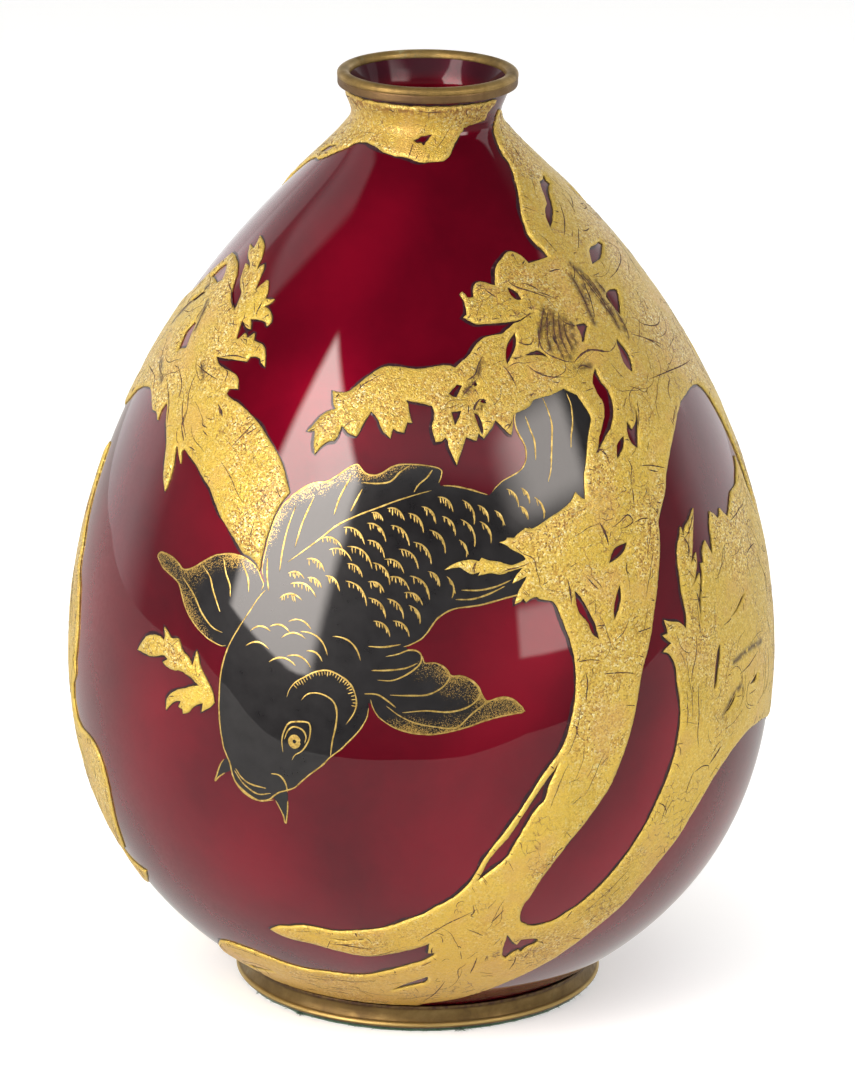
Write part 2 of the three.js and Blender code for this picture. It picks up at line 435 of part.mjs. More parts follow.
// ---- foliage and hanging trunk at the upper left ---------------------------------------------
const leftFoliage = [
  [-84, 241.6], [-75, 242], [-70, 241], [-66, 238.6], [-64, 235.8], [-62.3, 233.6], [-60.5, 232],
  [-58.5, 231.4], [-56.8, 230.4], [-57.2, 233], [-58.2, 235.2], [-60.5, 236.4], [-62.5, 238],
  [-64.2, 240.2], [-65.4, 242.2], [-63.5, 241.9], [-61.7, 240.9], [-62.3, 242], [-64, 243], [-67, 243.6],
  [-71.4, 246.4], [-69.5, 246.2], [-67.2, 246.2], [-68, 248], [-69.6, 249.5], [-66, 249], [-63, 248],
  [-60.3, 245.8], [-58.8, 243], [-58, 241.5], [-57.6, 243], [-56.6, 243.7], [-55.6, 243], [-54.8, 240.5],
  [-53.9, 238.3], [-53.5, 236.6], [-52.5, 238.5], [-51.3, 240.3], [-50.5, 240.3], [-49.2, 238.8],
  [-48.5, 237.5], [-48.2, 235.9], [-46.3, 236], [-44.8, 236.4], [-45.5, 235], [-47, 233.9],
  [-44.8, 233.6], [-43.2, 232.5], [-42.2, 230.6], [-43, 229.3], [-44, 230.3], [-46, 230.4],
  [-49.4, 230], [-48.4, 228.8], [-47.8, 227.4], [-49, 227.3], [-50.5, 228.3], [-52.3, 229],
  [-51.6, 227], [-51.2, 225], [-50.9, 224], [-50, 224], [-49, 225.5], [-48.6, 226], [-47.3, 225],
  [-46.3, 226], [-45.7, 226.6], [-45, 224.8], [-42, 224.4], [-40.5, 223.5], [-39.6, 221.5],
  [-38.7, 218.8], [-40, 219.6], [-40.8, 220.8], [-42.5, 221], [-44, 220.5], [-44.3, 219], [-47, 218.7],
  [-52, 218], [-54.3, 217.6], [-52.5, 216.1], [-50, 215.5], [-46, 215.2], [-44.5, 214], [-43.7, 211.5],
  [-46, 210.8], [-46.3, 209.4], [-45, 208.6], [-42.5, 208], [-40, 206.9], [-37, 205], [-35, 203.6],
  [-33, 201.3], [-31, 199], [-29, 196.5], [-27.5, 193.5], [-26, 189.5], [-25, 186.6], [-26, 184.3],
  [-27, 181], [-27.5, 177.5], [-28, 173], [-28.2, 169], [-28.3, 163.2], [-29, 165.3], [-30, 166.2],
  [-31, 167], [-32, 167.3], [-33, 169], [-35, 172], [-38, 176], [-40, 179.5], [-42, 183], [-44, 185],
  [-47, 188], [-50, 190.2], [-52, 191.5], [-52.5, 190.5], [-52, 189], [-51.5, 187], [-52.8, 189],
  [-54, 191.2], [-54.7, 191.5], [-54, 188.5], [-53.3, 186], [-53.1, 182], [-53.4, 178.2], [-54.7, 180.5],
  [-56, 184.5], [-57.3, 189], [-58, 191], [-60, 194.5], [-61.5, 197], [-63, 200.3], [-64, 200.7],
  [-64.7, 199.5], [-65, 197.5], [-64.5, 195.3], [-65.8, 196.8], [-67, 197.2], [-68.3, 196.8],
  [-70, 198], [-72.5, 200.2], [-75, 201], [-79, 200], [-84, 196.8], [-89, 191], [-93, 187.5],
  [-96, 192], [-95, 198], [-99, 203], [-105, 203.5], [-109, 208], [-104, 211], [-99, 213.5],
  [-103, 219], [-109, 222], [-112, 228], [-105, 228.5], [-99, 226.5], [-96, 231], [-99, 237],
  [-97, 242.5], [-92, 241],
];
const leftFoliageWindows = [
  [[-80.3, 236.5], [-78, 238.8], [-76, 239], [-73, 237.3], [-71.8, 235.5], [-73.5, 234], [-78, 234.3],
    [-81, 233.9]],
  [[-83, 225.8], [-80.5, 228.3], [-78, 230], [-76.3, 230.3], [-78, 228.3], [-80.5, 226.2]],
  [[-71.3, 223.2], [-69.8, 222.6], [-69, 219.5], [-67.6, 216], [-70, 215.2], [-70.9, 214], [-72, 216],
    [-73, 219.2], [-72.3, 221]],
  [[-53, 193.2], [-54, 194.6], [-55, 196.2], [-54.3, 195.7], [-53.2, 194.2]],
];
addRelief('left_foliage_relief', [leftFoliage], leftFoliageWindows);

const leftSprig = [
  [-51.9, 130], [-51, 132.8], [-50, 135.3], [-48.2, 136.7], [-46.6, 136.8], [-45.8, 135.7], [-45.5, 137.3],
  [-46, 140], [-45, 138.6], [-44.2, 137.3], [-42.6, 137.8], [-42, 136.1], [-41.2, 134], [-40, 133.2],
  [-39, 130.7], [-38.7, 133.2], [-38.4, 135.7], [-37.8, 133.2], [-37.4, 130.7], [-36.4, 128.6],
  [-35.2, 126.1], [-34.5, 123.6], [-34.2, 121.1], [-35, 119.4], [-36.6, 117.3], [-36.4, 120.3],
  [-38.4, 118.2], [-39.4, 115.7], [-40.4, 115], [-40.6, 116.5], [-41.5, 116.9], [-41, 119], [-42, 118.6],
  [-43.2, 116.9], [-44.1, 114.6], [-44.2, 117.3], [-43.6, 119.8], [-42, 121.9], [-40, 123.6],
  [-38.4, 124.8], [-37.4, 125.3], [-38.8, 126.9], [-40, 127.8], [-41.6, 128.6], [-42.8, 127.8],
  [-44.4, 128.2], [-45.5, 129.2], [-44.4, 130.7], [-45.4, 131.5], [-46.4, 130.7], [-48, 129.6],
  [-50, 129.8],
];
addRelief('left_sprig_relief', [leftSprig]);

// ---- trees round the back ----------------------------------------------------------------------
const leftBackTree = [
  [-77, 177], [-75.5, 168], [-74.5, 158], [-74.3, 148], [-75, 140], [-72.3, 136], [-71.5, 126], [-73, 118],
  [-76, 112], [-76.3, 107.5], [-79, 103], [-80, 97], [-78, 92.4], [-74, 91.3], [-70, 91.6], [-67.8, 91.2],
  [-66, 89.5], [-64.6, 86.5], [-63.8, 82], [-63.8, 77], [-64.8, 70], [-66.3, 63.5], [-67.8, 57],
  [-70, 52.5], [-74, 50], [-77, 48.4], [-70, 48.2], [-62, 49], [-65, 44.5], [-70, 40], [-76, 36.5],
  [-84, 33], [-92, 28.5], [-100, 24], [-110, 17], [-120, 11.5], [-128, rootBottom], [-150, rootBottom],
  [-146, 16], [-136, 22], [-127, 28], [-118, 38], [-112, 50], [-108, 64], [-106, 80], [-107, 96],
  [-110, 110], [-116, 122], [-123, 130], [-117, 133], [-112, 138], [-116, 146], [-122, 152],
  [-115, 154], [-109, 158], [-113, 168], [-119, 176], [-111, 177], [-104, 174], [-101, 166],
  [-99, 156], [-96, 160], [-96, 169], [-92, 176], [-89, 168], [-86, 162], [-83, 170],
];
const leftBackWindows = [
  [[-88, 140], [-85, 146], [-83, 143], [-84.5, 135], [-87, 134]],
  [[-98, 120], [-94, 128], [-92, 125], [-95, 116]],
  [[-84, 72], [-82, 80], [-80, 78], [-81, 70]],
];
addRelief('left_back_tree_relief', [leftBackTree], leftBackWindows);

const backTree = [
  [196, rootBottom], [176, rootBottom], [158, 12], [146, 18], [136, 27], [128, 33], [119, 36],
  [126, 41], [136, 42], [146, 37], [155, 34], [161, 40], [164, 52], [165, 66], [163, 80], [158, 92],
  [151, 102], [143, 109], [137, 112], [144, 115], [152, 113], [158, 110], [163, 114], [164, 126],
  [161, 138], [155, 148], [148, 154], [143, 160], [149, 164], [147, 171], [153, 172], [151, 180],
  [158, 178], [162, 184], [160, 192], [152, 196], [146, 203], [153, 206], [150, 213], [157, 214],
  [160, 221], [155, 228], [163, 230], [166, 238], [172, 243], [179, 240], [182, 246], [188, 247],
  [190, 240], [197, 238], [196, 230], [204, 227], [207, 219], [201, 216], [208, 210], [214, 203],
  [207, 201], [200, 204], [198, 196], [205, 190], [213, 187], [207, 181], [198, 183], [193, 190],
  [188, 184], [186, 172], [187, 160], [191, 150], [198, 143], [206, 139], [213, 133], [206, 131],
  [198, 133], [191, 138], [186, 136], [184, 124], [184, 108], [187, 90], [191, 74], [197, 60],
  [205, 50], [214, 43], [207, 39], [199, 42], [195, 36], [201, 26], [208, 18], [206, 12],
];
const backTreeWindows = [
  [[176, 120], [178, 131], [180, 128], [178.5, 117]],
  [[170, 150], [173, 158], [175, 152], [172, 145]],
  [[166, 206], [170, 212], [174, 208], [170, 202]],
  [[181, 222], [185, 229], [188, 224], [184, 218]],
  [[176, 42], [181, 47], [183, 40], [178, 37]],
];
addRelief('back_tree_relief', [backTree], backTreeWindows);

const backSprig = [
  [216, 238], [220, 244], [225, 246], [223, 240], [228, 241], [232, 246], [233, 239], [237, 234],
  [231, 233], [235, 227], [240, 222], [233, 222], [229, 226], [227, 220], [224, 215], [222, 222],
  [223, 229], [218, 227], [213, 223], [215, 230], [220, 234],
];
addRelief('back_sprig_relief', [backSprig]);

// ---- the koi: painted fields of black enamel ----------------------------------------------------
const koiBody = [
  [-26.4, 158.6], [-27.8, 155.7], [-29.2, 150.7], [-30.6, 146.5], [-31.8, 141.9], [-32.8, 137.3],
  [-33.4, 131.5], [-33.5, 125.7], [-33.4, 119.8], [-33.1, 114], [-32.3, 106.8], [-31.2, 103.2],
  [-30.9, 99.6], [-30, 95.7], [-28.4, 93.2], [-26.4, 92.1], [-24.4, 92.8], [-23.6, 94.6], [-22.4, 96.4],
  [-20, 97.8], [-18.4, 101.5], [-16.8, 104.4], [-15.2, 106.9], [-14.2, 109.4], [-12.4, 112.3],
  [-10.4, 116.5], [-8.8, 120.7], [-8, 124.6], [-8.2, 128.6], [-9, 130.4], [-7.6, 132.4], [-7.6, 137.6],
  [-7.2, 142], [-5, 144.2], [-2, 145.3], [0, 147.3], [1.2, 149.8], [2.4, 153.2], [3.2, 154.4],
  [5.2, 156.5], [8, 156.9], [10, 157.3], [12.4, 158.2], [14.6, 159], [18, 160], [21, 168], [20, 176],
  [16, 182], [12.2, 188.4], [10.4, 189.2], [8.4, 190.4], [6, 191.2], [3.4, 191.4], [-1.2, 188.5],
  [-5.2, 186], [-9.2, 183.5], [-13.2, 180.2], [-16.4, 176.4], [-19.2, 171.8], [-21.6, 169.3],
  [-23.6, 166.4], [-25.2, 162.6],
];
addKoi('koi_body_enamel', koiBody);

const dorsalFin = [
  [-25.6, 163.2], [-26.6, 159.8], [-27.4, 161.3], [-28, 164], [-27.8, 168.2], [-27.6, 173.2], [-27, 179],
  [-26, 182.8], [-24.6, 185.7], [-22.4, 188.6], [-20.4, 190.3], [-18, 190.8], [-16, 193.2], [-14, 195.7],
  [-12.6, 196.3], [-11.2, 194.4], [-10, 193.6], [-8, 194], [-6.4, 196.1], [-4.4, 197.1], [-1.2, 197.1],
  [1.2, 196.7], [3.6, 196.1], [3.4, 193.6], [3, 191.9], [-1.2, 189.1], [-5.2, 186.6], [-9.2, 184.1],
  [-13.2, 180.8], [-16.4, 177], [-19.2, 172.4], [-21.6, 169.9], [-23.8, 166.8],
];
addKoi('koi_dorsal_fin_enamel', dorsalFin);

const tailFin = [
  [12.6, 188.6], [13.6, 190.3], [15.2, 192.3], [17.6, 193.6], [19.2, 194.8], [20.2, 197], [20.6, 199.5],
  [20.4, 202], [19.6, 204], [19, 206.8], [19.2, 209.6], [20.5, 213], [26, 217], [32, 217.5], [36, 214.5],
  [38, 207], [37, 202], [35, 196], [33.5, 190], [32.5, 184], [26, 180], [20.6, 176.4], [16.6, 182],
];
addKoi('koi_tail_enamel', tailFin);

const farFin = [
  [-50.9, 160.7], [-49.6, 161.3], [-47.2, 161.1], [-45.4, 159.8], [-44, 158.3], [-42.4, 159],
  [-40.8, 161.1], [-39.2, 163.2], [-37.2, 165.3], [-34.4, 166.7], [-32, 166.5], [-30, 165.3],
  [-28.6, 163.4], [-27.8, 161], [-27, 159], [-28.2, 155.6], [-29.6, 150.7], [-31, 146.5], [-32.1, 142],
  [-33, 138.9], [-34.4, 139], [-36.8, 140.3], [-39.2, 142.8], [-41.6, 146.5], [-43.2, 150.7],
  [-44.4, 154.4], [-46.4, 155.7], [-48.8, 156.9], [-50.7, 159.4],
];
addKoi('koi_far_fin_enamel', farFin);

const nearFin = [
  [-7.7, 128.6], [-7.2, 124.8], [-5.6, 121.9], [-3.6, 119.8], [-1.2, 118.6], [2, 118.3], [4.8, 119.2],
  [7.6, 120.7], [10, 122.3], [12.4, 123.3], [14.6, 123.8], [16.6, 124.3], [15.8, 126.5], [14.4, 128.6],
  [12.6, 129], [10.4, 128.3], [9.6, 130.3], [9.2, 132.3], [8, 134.8], [6.4, 136.3], [4.6, 136.1],
  [3.8, 138.6], [2.6, 140.3], [0.6, 140.3], [0.2, 142.3], [-0.4, 143.6], [-1.6, 144.4], [-4.6, 143.6],
  [-6.9, 141.6], [-7.2, 137.6], [-7.2, 132.2], [-8.5, 130.4],
];
addKoi('koi_near_fin_enamel', nearFin);

const farBarbel = [
  [-31.9, 104.6], [-32.6, 103], [-33.2, 101.1], [-34.2, 95.8], [-32.8, 98.6], [-31.5, 99.9], [-31.35, 102],
];
addKoi('koi_far_barbel_enamel', farBarbel);

const nearBarbel = [
  [-23.4, 94], [-22.8, 91.9], [-22, 89], [-21.7, 85.3], [-21.3, 89], [-21.1, 93.2], [-21.1, 96.9],
  [-22.3, 95.9],
];
addKoi('koi_near_barbel_enamel', nearBarbel);

// A flat ring of gilding round the eye, on top of the black enamel.
const eye = { angle: -19.8, height: 114.6, outer: 4.2, inner: 3.3, points: 20 };
const degreesPerMm = 180 / (Math.PI * BELLY.radius);
function eyeCircle(radius) {
  const circle = [];
  for (let i = 0; i < eye.points; i += 1) {
    const turn = (2 * Math.PI * i) / eye.points;
    circle.push([
      eye.angle + radius * degreesPerMm * Math.cos(turn),
      eye.height + radius * Math.sin(turn),
    ]);
  }
  return circle;
}
addPart('koi_eye_gilding', skin(RELIEF_LIFT, 0.15, [eyeCircle(eye.outer)], [eyeCircle(eye.inner)]), GILT);

export default group;
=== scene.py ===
"""An enamelled vase with gold relief trees and a black koi: the looks round its CAD frame."""
import math

import bpy
import numpy as np
from mathutils import Matrix, Vector, noise
from mathutils.geometry import delaunay_2d_cdt
from mathutils.kdtree import KDTree


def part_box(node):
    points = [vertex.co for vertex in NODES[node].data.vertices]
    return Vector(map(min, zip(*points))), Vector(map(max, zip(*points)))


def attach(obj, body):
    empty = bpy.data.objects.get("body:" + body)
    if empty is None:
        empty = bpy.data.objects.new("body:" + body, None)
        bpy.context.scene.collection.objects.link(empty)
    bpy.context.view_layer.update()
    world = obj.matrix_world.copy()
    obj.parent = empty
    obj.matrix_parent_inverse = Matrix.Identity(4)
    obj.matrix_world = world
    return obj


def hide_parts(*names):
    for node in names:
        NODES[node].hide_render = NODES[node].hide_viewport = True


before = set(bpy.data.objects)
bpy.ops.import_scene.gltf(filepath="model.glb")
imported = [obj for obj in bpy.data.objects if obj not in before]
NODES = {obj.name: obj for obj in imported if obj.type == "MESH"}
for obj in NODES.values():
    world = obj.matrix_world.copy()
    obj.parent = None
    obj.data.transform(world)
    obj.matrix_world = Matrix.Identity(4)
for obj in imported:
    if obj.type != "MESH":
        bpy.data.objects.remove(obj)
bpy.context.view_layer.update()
MM = 0.001
FULL_TURN = 2 * math.pi
SEED = 11
rng = np.random.default_rng(SEED)
noise.seed_set(SEED)      # noise_vector starts from the clock without it

# ---- heights above the enamel ground, in millimetres
GOLD_EDGE = 0.45        # top of the relief's side
GOLD_CROWN = 0.85       # relief away from its edges
GOLD_RISE = 1.5         # how far in from the edge the relief rises
KOI_LIFT = 0.12
GILT_LIFT = 0.18
BURIED = -0.12          # undersides, just inside the ground


# ---- meshes
def make(name, points, faces, material, replaces=(), sharp=None):
    """A mesh piece from points in millimetres that rides on the vase."""
    mesh = bpy.data.meshes.new(name)
    mesh.from_pydata((np.asarray(points) * MM).tolist(), [], [list(map(int, f)) for f in faces])
    mesh.validate()
    mesh.shade_smooth()
    if sharp is not None:
        mesh.set_sharp_from_angle(angle=math.radians(sharp))
    mesh.materials.append(material)
    piece = bpy.data.objects.new(name, mesh)
    bpy.context.scene.collection.objects.link(piece)
    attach(piece, "root")
    if replaces:
        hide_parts(*replaces)
    return piece


def attribute(piece, name, values):
    layer = piece.data.attributes.new(name, "FLOAT", "POINT")
    layer.data.foreach_set("value", np.asarray(values, np.float32))


def cad_mesh(name):
    """(vertices in millimetres, triangles) of a CAD node, with its split vertices merged."""
    mesh = NODES[name].data
    mesh.calc_loop_triangles()
    points = np.empty(len(mesh.vertices) * 3)
    mesh.vertices.foreach_get("co", points)
    triangles = np.empty(len(mesh.loop_triangles) * 3, np.int32)
    mesh.loop_triangles.foreach_get("vertices", triangles)
    points, merged = np.unique(np.round(points.reshape(-1, 3) / MM, 3), axis=0, return_inverse=True)
    return points, merged.reshape(-1)[triangles].reshape(-1, 3)


def unit(vectors):
    return vectors / np.maximum(np.linalg.norm(vectors, axis=-1, keepdims=True), 1e-12)


def facing(points, triangles):
    a, b, c = (points[triangles[:, i]] for i in range(3))
    return unit(np.cross(b - a, c - a))


def boundary(triangles):
    """The directed edges that only one triangle has."""
    edges = {(int(t[i]), int(t[(i + 1) % 3])) for t in triangles for i in range(3)}
    return [(a, b) for a, b in sorted(edges) if (b, a) not in edges]


def noises(places, scale):
    """Smooth noise between -1 and 1 at each place."""
    return np.array([noise.noise(Vector(place) * scale) for place in places])


# ---- the wall's profile: a smooth curve through the rings of the enamel ground
def spline(knots, values, at):
    """Natural cubic spline through values at knots."""
    gap = np.diff(knots)
    count = len(knots)
    matrix = np.eye(count)
    bends = np.zeros_like(values)
    rise = np.diff(values, axis=0) / gap[:, None]
    for i in range(1, count - 1):
        matrix[i, i - 1:i + 2] = gap[i - 1], 2 * (gap[i - 1] + gap[i]), gap[i]
        bends[i] = 6 * (rise[i] - rise[i - 1])
    bends = np.linalg.solve(matrix, bends)
    k = np.clip(np.searchsorted(knots, at) - 1, 0, count - 2)
    left = ((at - knots[k]) / gap[k])[:, None]
    right = 1 - left
    square = (gap[k] ** 2 / 6)[:, None]
    return (right * values[k] + left * values[k + 1]
            + square * ((right ** 3 - right) * bends[k] + (left ** 3 - left) * bends[k + 1]))


def outer_rings():
    """(radius, height) of each ring of corners on the outside of the enamel ground."""
    points, triangles = cad_mesh("ruby_enamel_ground")
    centres = points[triangles].mean(axis=1)
    away = (facing(points, triangles)[:, :2] * centres[:, :2]).sum(axis=1) / np.hypot(*centres[:, :2].T)
    outer = points[np.unique(triangles[away > 0.3])]
    rings = np.stack([np.hypot(outer[:, 0], outer[:, 1]), outer[:, 2]], axis=1)
    rings = rings[np.argsort(rings[:, 1])]
    return rings[np.concatenate([[True], np.diff(rings[:, 1]) > 0.5])]


PROFILE_POINTS = 1600
rings = outer_rings()
chord = np.concatenate([[0], np.cumsum(np.linalg.norm(np.diff(rings, axis=0), axis=1))])
wall = spline(chord, rings, np.linspace(0, chord[-1], PROFILE_POINTS))
wall_r, wall_z = wall.T
step = np.linalg.norm(np.diff(wall, axis=0), axis=1)
wall_s = np.concatenate([[0], np.cumsum(step)])                                    # length up the profile
wall_w = np.concatenate([[0], np.cumsum(step * 2 / (wall_r[1:] + wall_r[:-1]))])   # length over radius
slope = unit(np.gradient(wall, axis=0))
wall_nr, wall_nz = slope[:, 1], -slope[:, 0]

# A place on the wall is a pair (angle, w): the angle round the axis in radians, 0 at the front and
# positive to the right, and w up the profile. Short lengths keep their proportions in these pairs.


def radius_at(w):
    return np.interp(w, wall_w, wall_r)


def neck(radius, height):
    """The neck is a little longer and slimmer in the photograph than in the CAD."""
    slimmer = np.interp(height, (278, 287, 291, 294), (0, 0.45, 0.45, 0))
    longer = np.interp(height, (284, 292.2), (0, 2.1))
    return radius - slimmer, height + longer


def on_wall(spots, lift=0.0):
    """Points in space at pairs (angle, w), lifted off the wall."""
    angle, w = spots[..., 0], spots[..., 1]
    radius = radius_at(w) + lift * np.interp(w, wall_w, wall_nr)
    height = np.interp(w, wall_w, wall_z) + lift * np.interp(w, wall_w, wall_nz)
    radius, height = neck(radius, height)
    return np.stack([radius * np.sin(angle), -radius * np.cos(angle), height], axis=-1)


def drawn(numbers):
    """Degrees and heights in turn, as pairs (angle, w)."""
    pairs = np.asarray(numbers, float).reshape(-1, 2)
    return np.stack([np.radians(pairs[:, 0]), np.interp(pairs[:, 1], wall_z, wall_w)], axis=1)


# ---- outlines of the skins, taken from the CAD nodes
def outlines(name):
    """Closed loops of (angle, w) round a skin's outer face and its windows, the largest first."""
    points, triangles = cad_mesh(name)
    centres = points[triangles].mean(axis=1)
    radius = np.hypot(centres[:, 0], centres[:, 1])
    nr = np.interp(centres[:, 2], wall_z, wall_nr)
    nz = np.interp(centres[:, 2], wall_z, wall_nz)
    out = np.stack([nr * centres[:, 0] / radius, nr * centres[:, 1] / radius, nz], axis=1)
    face = triangles[(facing(points, triangles) * out).sum(axis=1) > 0.5]
    following = {}
    for a, b in boundary(face):
        following.setdefault(a, []).append(b)
    loops = []
    while following:
        loop = [min(following)]
        while True:
            here = loop[-1]
            there = following[here].pop()
            if not following[here]:
                del following[here]
            if there == loop[0]:
                break
            loop.append(there)
        if len(loop) > 2:
            loops.append(unrolled(points[loop]))
    loops.sort(key=lambda loop: -np.ptp(loop[:, 0]) * np.ptp(loop[:, 1]))
    middle = loops[0][:, 0].mean()
    for loop in loops:
        loop[:, 0] += FULL_TURN * round((middle - loop[:, 0].mean()) / FULL_TURN)
    return loops


def unrolled(points):
    spot = np.stack([np.hypot(points[:, 0], points[:, 1]), points[:, 2]], axis=1)
    nearest = np.linalg.norm(spot[:, None] - wall[None], axis=2).argmin(axis=1)
    angle = np.unwrap(np.arctan2(points[:, 0], -points[:, 1]))
    return np.stack([angle, wall_w[nearest]], axis=1)


SHARP_CORNER = 50.0     # degrees: tips that turn more than this stay sharp
SMALLEST_GAP = 0.2      # between the corners of an outline


def soften(loop, spacing, wobble):
    """A loop with rounded bends, kept tips, even spacing and a slightly unsteady line."""
    gaps = np.linalg.norm(loop - np.roll(loop, 1, axis=0), axis=1) * radius_at(loop[:, 1])
    loop = loop[gaps > SMALLEST_GAP]
    for _ in range(2):
        ahead = np.roll(loop, -1, axis=0) - loop
        turn = np.degrees(np.arctan2(ahead[:, 1], ahead[:, 0]))
        turn = np.abs((turn - np.roll(turn, 1) + 180) % 360 - 180)
        cut = []
        for i, point in enumerate(loop):
            if turn[i] > SHARP_CORNER:
                cut.append(point)
            else:
                cut.append(0.75 * point + 0.25 * loop[i - 1])
                cut.append(0.75 * point + 0.25 * loop[(i + 1) % len(loop)])
        loop = np.array(cut)
    ahead = np.roll(loop, -1, axis=0) - loop
    length = np.linalg.norm(ahead, axis=1) * radius_at(loop[:, 1])
    pieces = np.maximum(1, np.round(length / spacing)).astype(int)
    fine = np.concatenate([loop[i] + ahead[i] * (np.arange(n) / n)[:, None] for i, n in enumerate(pieces)])
    crowded = 0.35 * spacing
    kept = [fine[0]]
    for point in fine[1:]:
        if np.linalg.norm(point - kept[-1]) * radius_at(point[1]) > crowded:
            kept.append(point)
    fine = np.array(kept)
    places = [Vector(place) for place in on_wall(fine)]
    shift = [noise.noise_vector(place * 0.9) + 0.7 * noise.noise_vector(place * 0.3) for place in places]
    return fine + np.array(shift)[:, :2] * (wobble / radius_at(fine[:, 1]))[:, None]


SPOTS_AT_ONCE = 150     # tested together against the edges at their height


def inside(spots, loops):
    """Which spots lie inside the loops, windows taken out."""
    start = np.concatenate(loops)
    end = np.concatenate([np.roll(loop, -1, axis=0) for loop in loops])
    result = np.zeros(len(spots), bool)
    order = np.argsort(spots[:, 1])
    for chunk in np.array_split(order, max(1, len(order) // SPOTS_AT_ONCE)):
        if not len(chunk):
            continue
        low, high = spots[chunk, 1].min(), spots[chunk, 1].max()
        near = (np.minimum(start[:, 1], end[:, 1]) <= high) & (np.maximum(start[:, 1], end[:, 1]) >= low)
        a, b = start[near], end[near]
        x, y = spots[chunk, 0][:, None], spots[chunk, 1][:, None]
        crosses = (a[:, 1] <= y) != (b[:, 1] <= y)
        rise = np.where(a[:, 1] == b[:, 1], 1, b[:, 1] - a[:, 1])
        reach = a[:, 0] + (y - a[:, 1]) / rise * (b[:, 0] - a[:, 0])
        result[chunk] = (crosses & (reach > x)).sum(axis=1) % 2 == 1
    return result


def tree_of(spots):
    """Looks up the nearest of some spots on the wall."""
    tree = KDTree(len(spots))
    for i, place in enumerate(on_wall(spots)):
        tree.insert(place, i)
    tree.balance()
    return tree


def distances(tree, places):
    return np.array([tree.find(place)[2] for place in places])


def along(loops):
    """The loops' points and the points half way between them."""
    rim = []
    for loop in loops:
        ahead = np.roll(loop, -1, axis=0)
        rim += [loop + (ahead - loop) * share for share in (0, 0.5)]
    return np.concatenate(rim)


ROW_STEP = 0.87         # rows of even triangles, as a share of their spacing
JITTER = 0.22           # and how far each spot is moved at random
EDGE_GAP = 0.5          # no spots nearer to the edge than this
PRECISION = 100.0       # spots are scaled up for the triangulation


def fill(loops, spacing):
    """Triangles inside the loops: (spots, triangles, distance of each spot to the edge)."""
    tree = tree_of(along(loops))
    left, low = np.min([loop.min(axis=0) for loop in loops], axis=0)
    right, high = np.max([loop.max(axis=0) for loop in loops], axis=0)
    low, high = np.interp((low, high), wall_w, wall_s)
    rows = []
    for row, w in enumerate(np.interp(np.arange(low, high, spacing * ROW_STEP), wall_s, wall_w)):
        apart = spacing / radius_at(w)
        across = np.arange(left, right, apart) + apart / 2 * (row % 2)
        jitter = rng.uniform(-JITTER, JITTER, (len(across), 2)) * apart
        rows.append(np.stack([across, np.full(len(across), w)], axis=1) + jitter)
    spots = np.concatenate(rows)
    spots = spots[inside(spots, loops)]
    spots = spots[distances(tree, on_wall(spots)) > EDGE_GAP * spacing]
    edges = []
    count = 0
    for loop in loops:
        edges += [(count + i, count + (i + 1) % len(loop)) for i in range(len(loop))]
        count += len(loop)
    corners = [Vector(spot) for spot in np.concatenate(loops + [spots]) * PRECISION]
    result = delaunay_2d_cdt(corners, edges, [], 0, 1e-5, False)
    spots = np.array([tuple(p) for p in result[0]]) / PRECISION
    triangles = np.array([f for f in result[2] if len(f) == 3])
    triangles = triangles[inside(spots[triangles].mean(axis=1), loops)]
    used, again = np.unique(triangles, return_inverse=True)
    spots = spots[used]
    return spots, again.reshape(-1, 3), distances(tree, on_wall(spots))


def slab(name, loops, spacing, lift_of, material, replaces, sharp=None):
    """
    A closed piece on the wall, with its top at lift_of(places, distance to the edge).
    Returns the piece, its spots and their places and distances to the edge.
    """
    spots, triangles, far = fill(loops, spacing)
    places = on_wall(spots)
    top = on_wall(spots, lift_of(places, far))
    count = len(spots)
    sides = [(b, a, a + count, b + count) for a, b in boundary(triangles)]
    faces = triangles.tolist() + (triangles[:, ::-1] + count).tolist() + sides
    points = np.concatenate([top, on_wall(spots, BURIED)])
    piece = make(name, points, faces, material, replaces, sharp)
    attribute(piece, "edge_mm", np.tile(far, 2))
    return piece, spots, places, far


def revolve(name, profile, segments, material, replaces, sharp=40.0):
    """A closed profile of (radius, height), or one that starts and ends on the axis, turned round it."""
    turns = np.arange(segments) * FULL_TURN / segments
    points = []
    rows = []
    for radius, height in np.asarray(profile, float):
        if radius < 1e-6:
            rows.append([len(points)] * segments)
            points.append((0, 0, height))
        else:
            rows.append(list(range(len(points), len(points) + segments)))
            points += [(radius * math.sin(t), -radius * math.cos(t), height) for t in turns]
    faces = []
    for i, row in enumerate(rows):
        above = rows[(i + 1) % len(rows)]
        for j in range(segments):
            k = (j + 1) % segments
            corners = [row[j], row[k], above[k], above[j]]
            face = [c for n, c in enumerate(corners) if c != corners[n - 1]]
            if len(face) > 2:
                faces.append(face)
    return make(name, points, faces, material, replaces, sharp)


def rounded(corners, steps=4):
    """A closed outline whose corners (radius, height, rounding) are cut by small arcs."""
    outline = []
    for i, (x, y, rounding) in enumerate(corners):
        here = np.array([x, y])
        if rounding == 0:
            outline.append(here)
            continue
        ends = []
        for neighbour in (corners[i - 1], corners[(i + 1) % len(corners)]):
            side = np.array(neighbour[:2]) - here
            length = np.linalg.norm(side)
            ends.append(here + side / length * min(rounding, 0.48 * length))
        for t in np.linspace(0, 1, steps + 1):
            outline.append((1 - t) ** 2 * ends[0] + 2 * t * (1 - t) * here + t ** 2 * ends[1])
    return outline


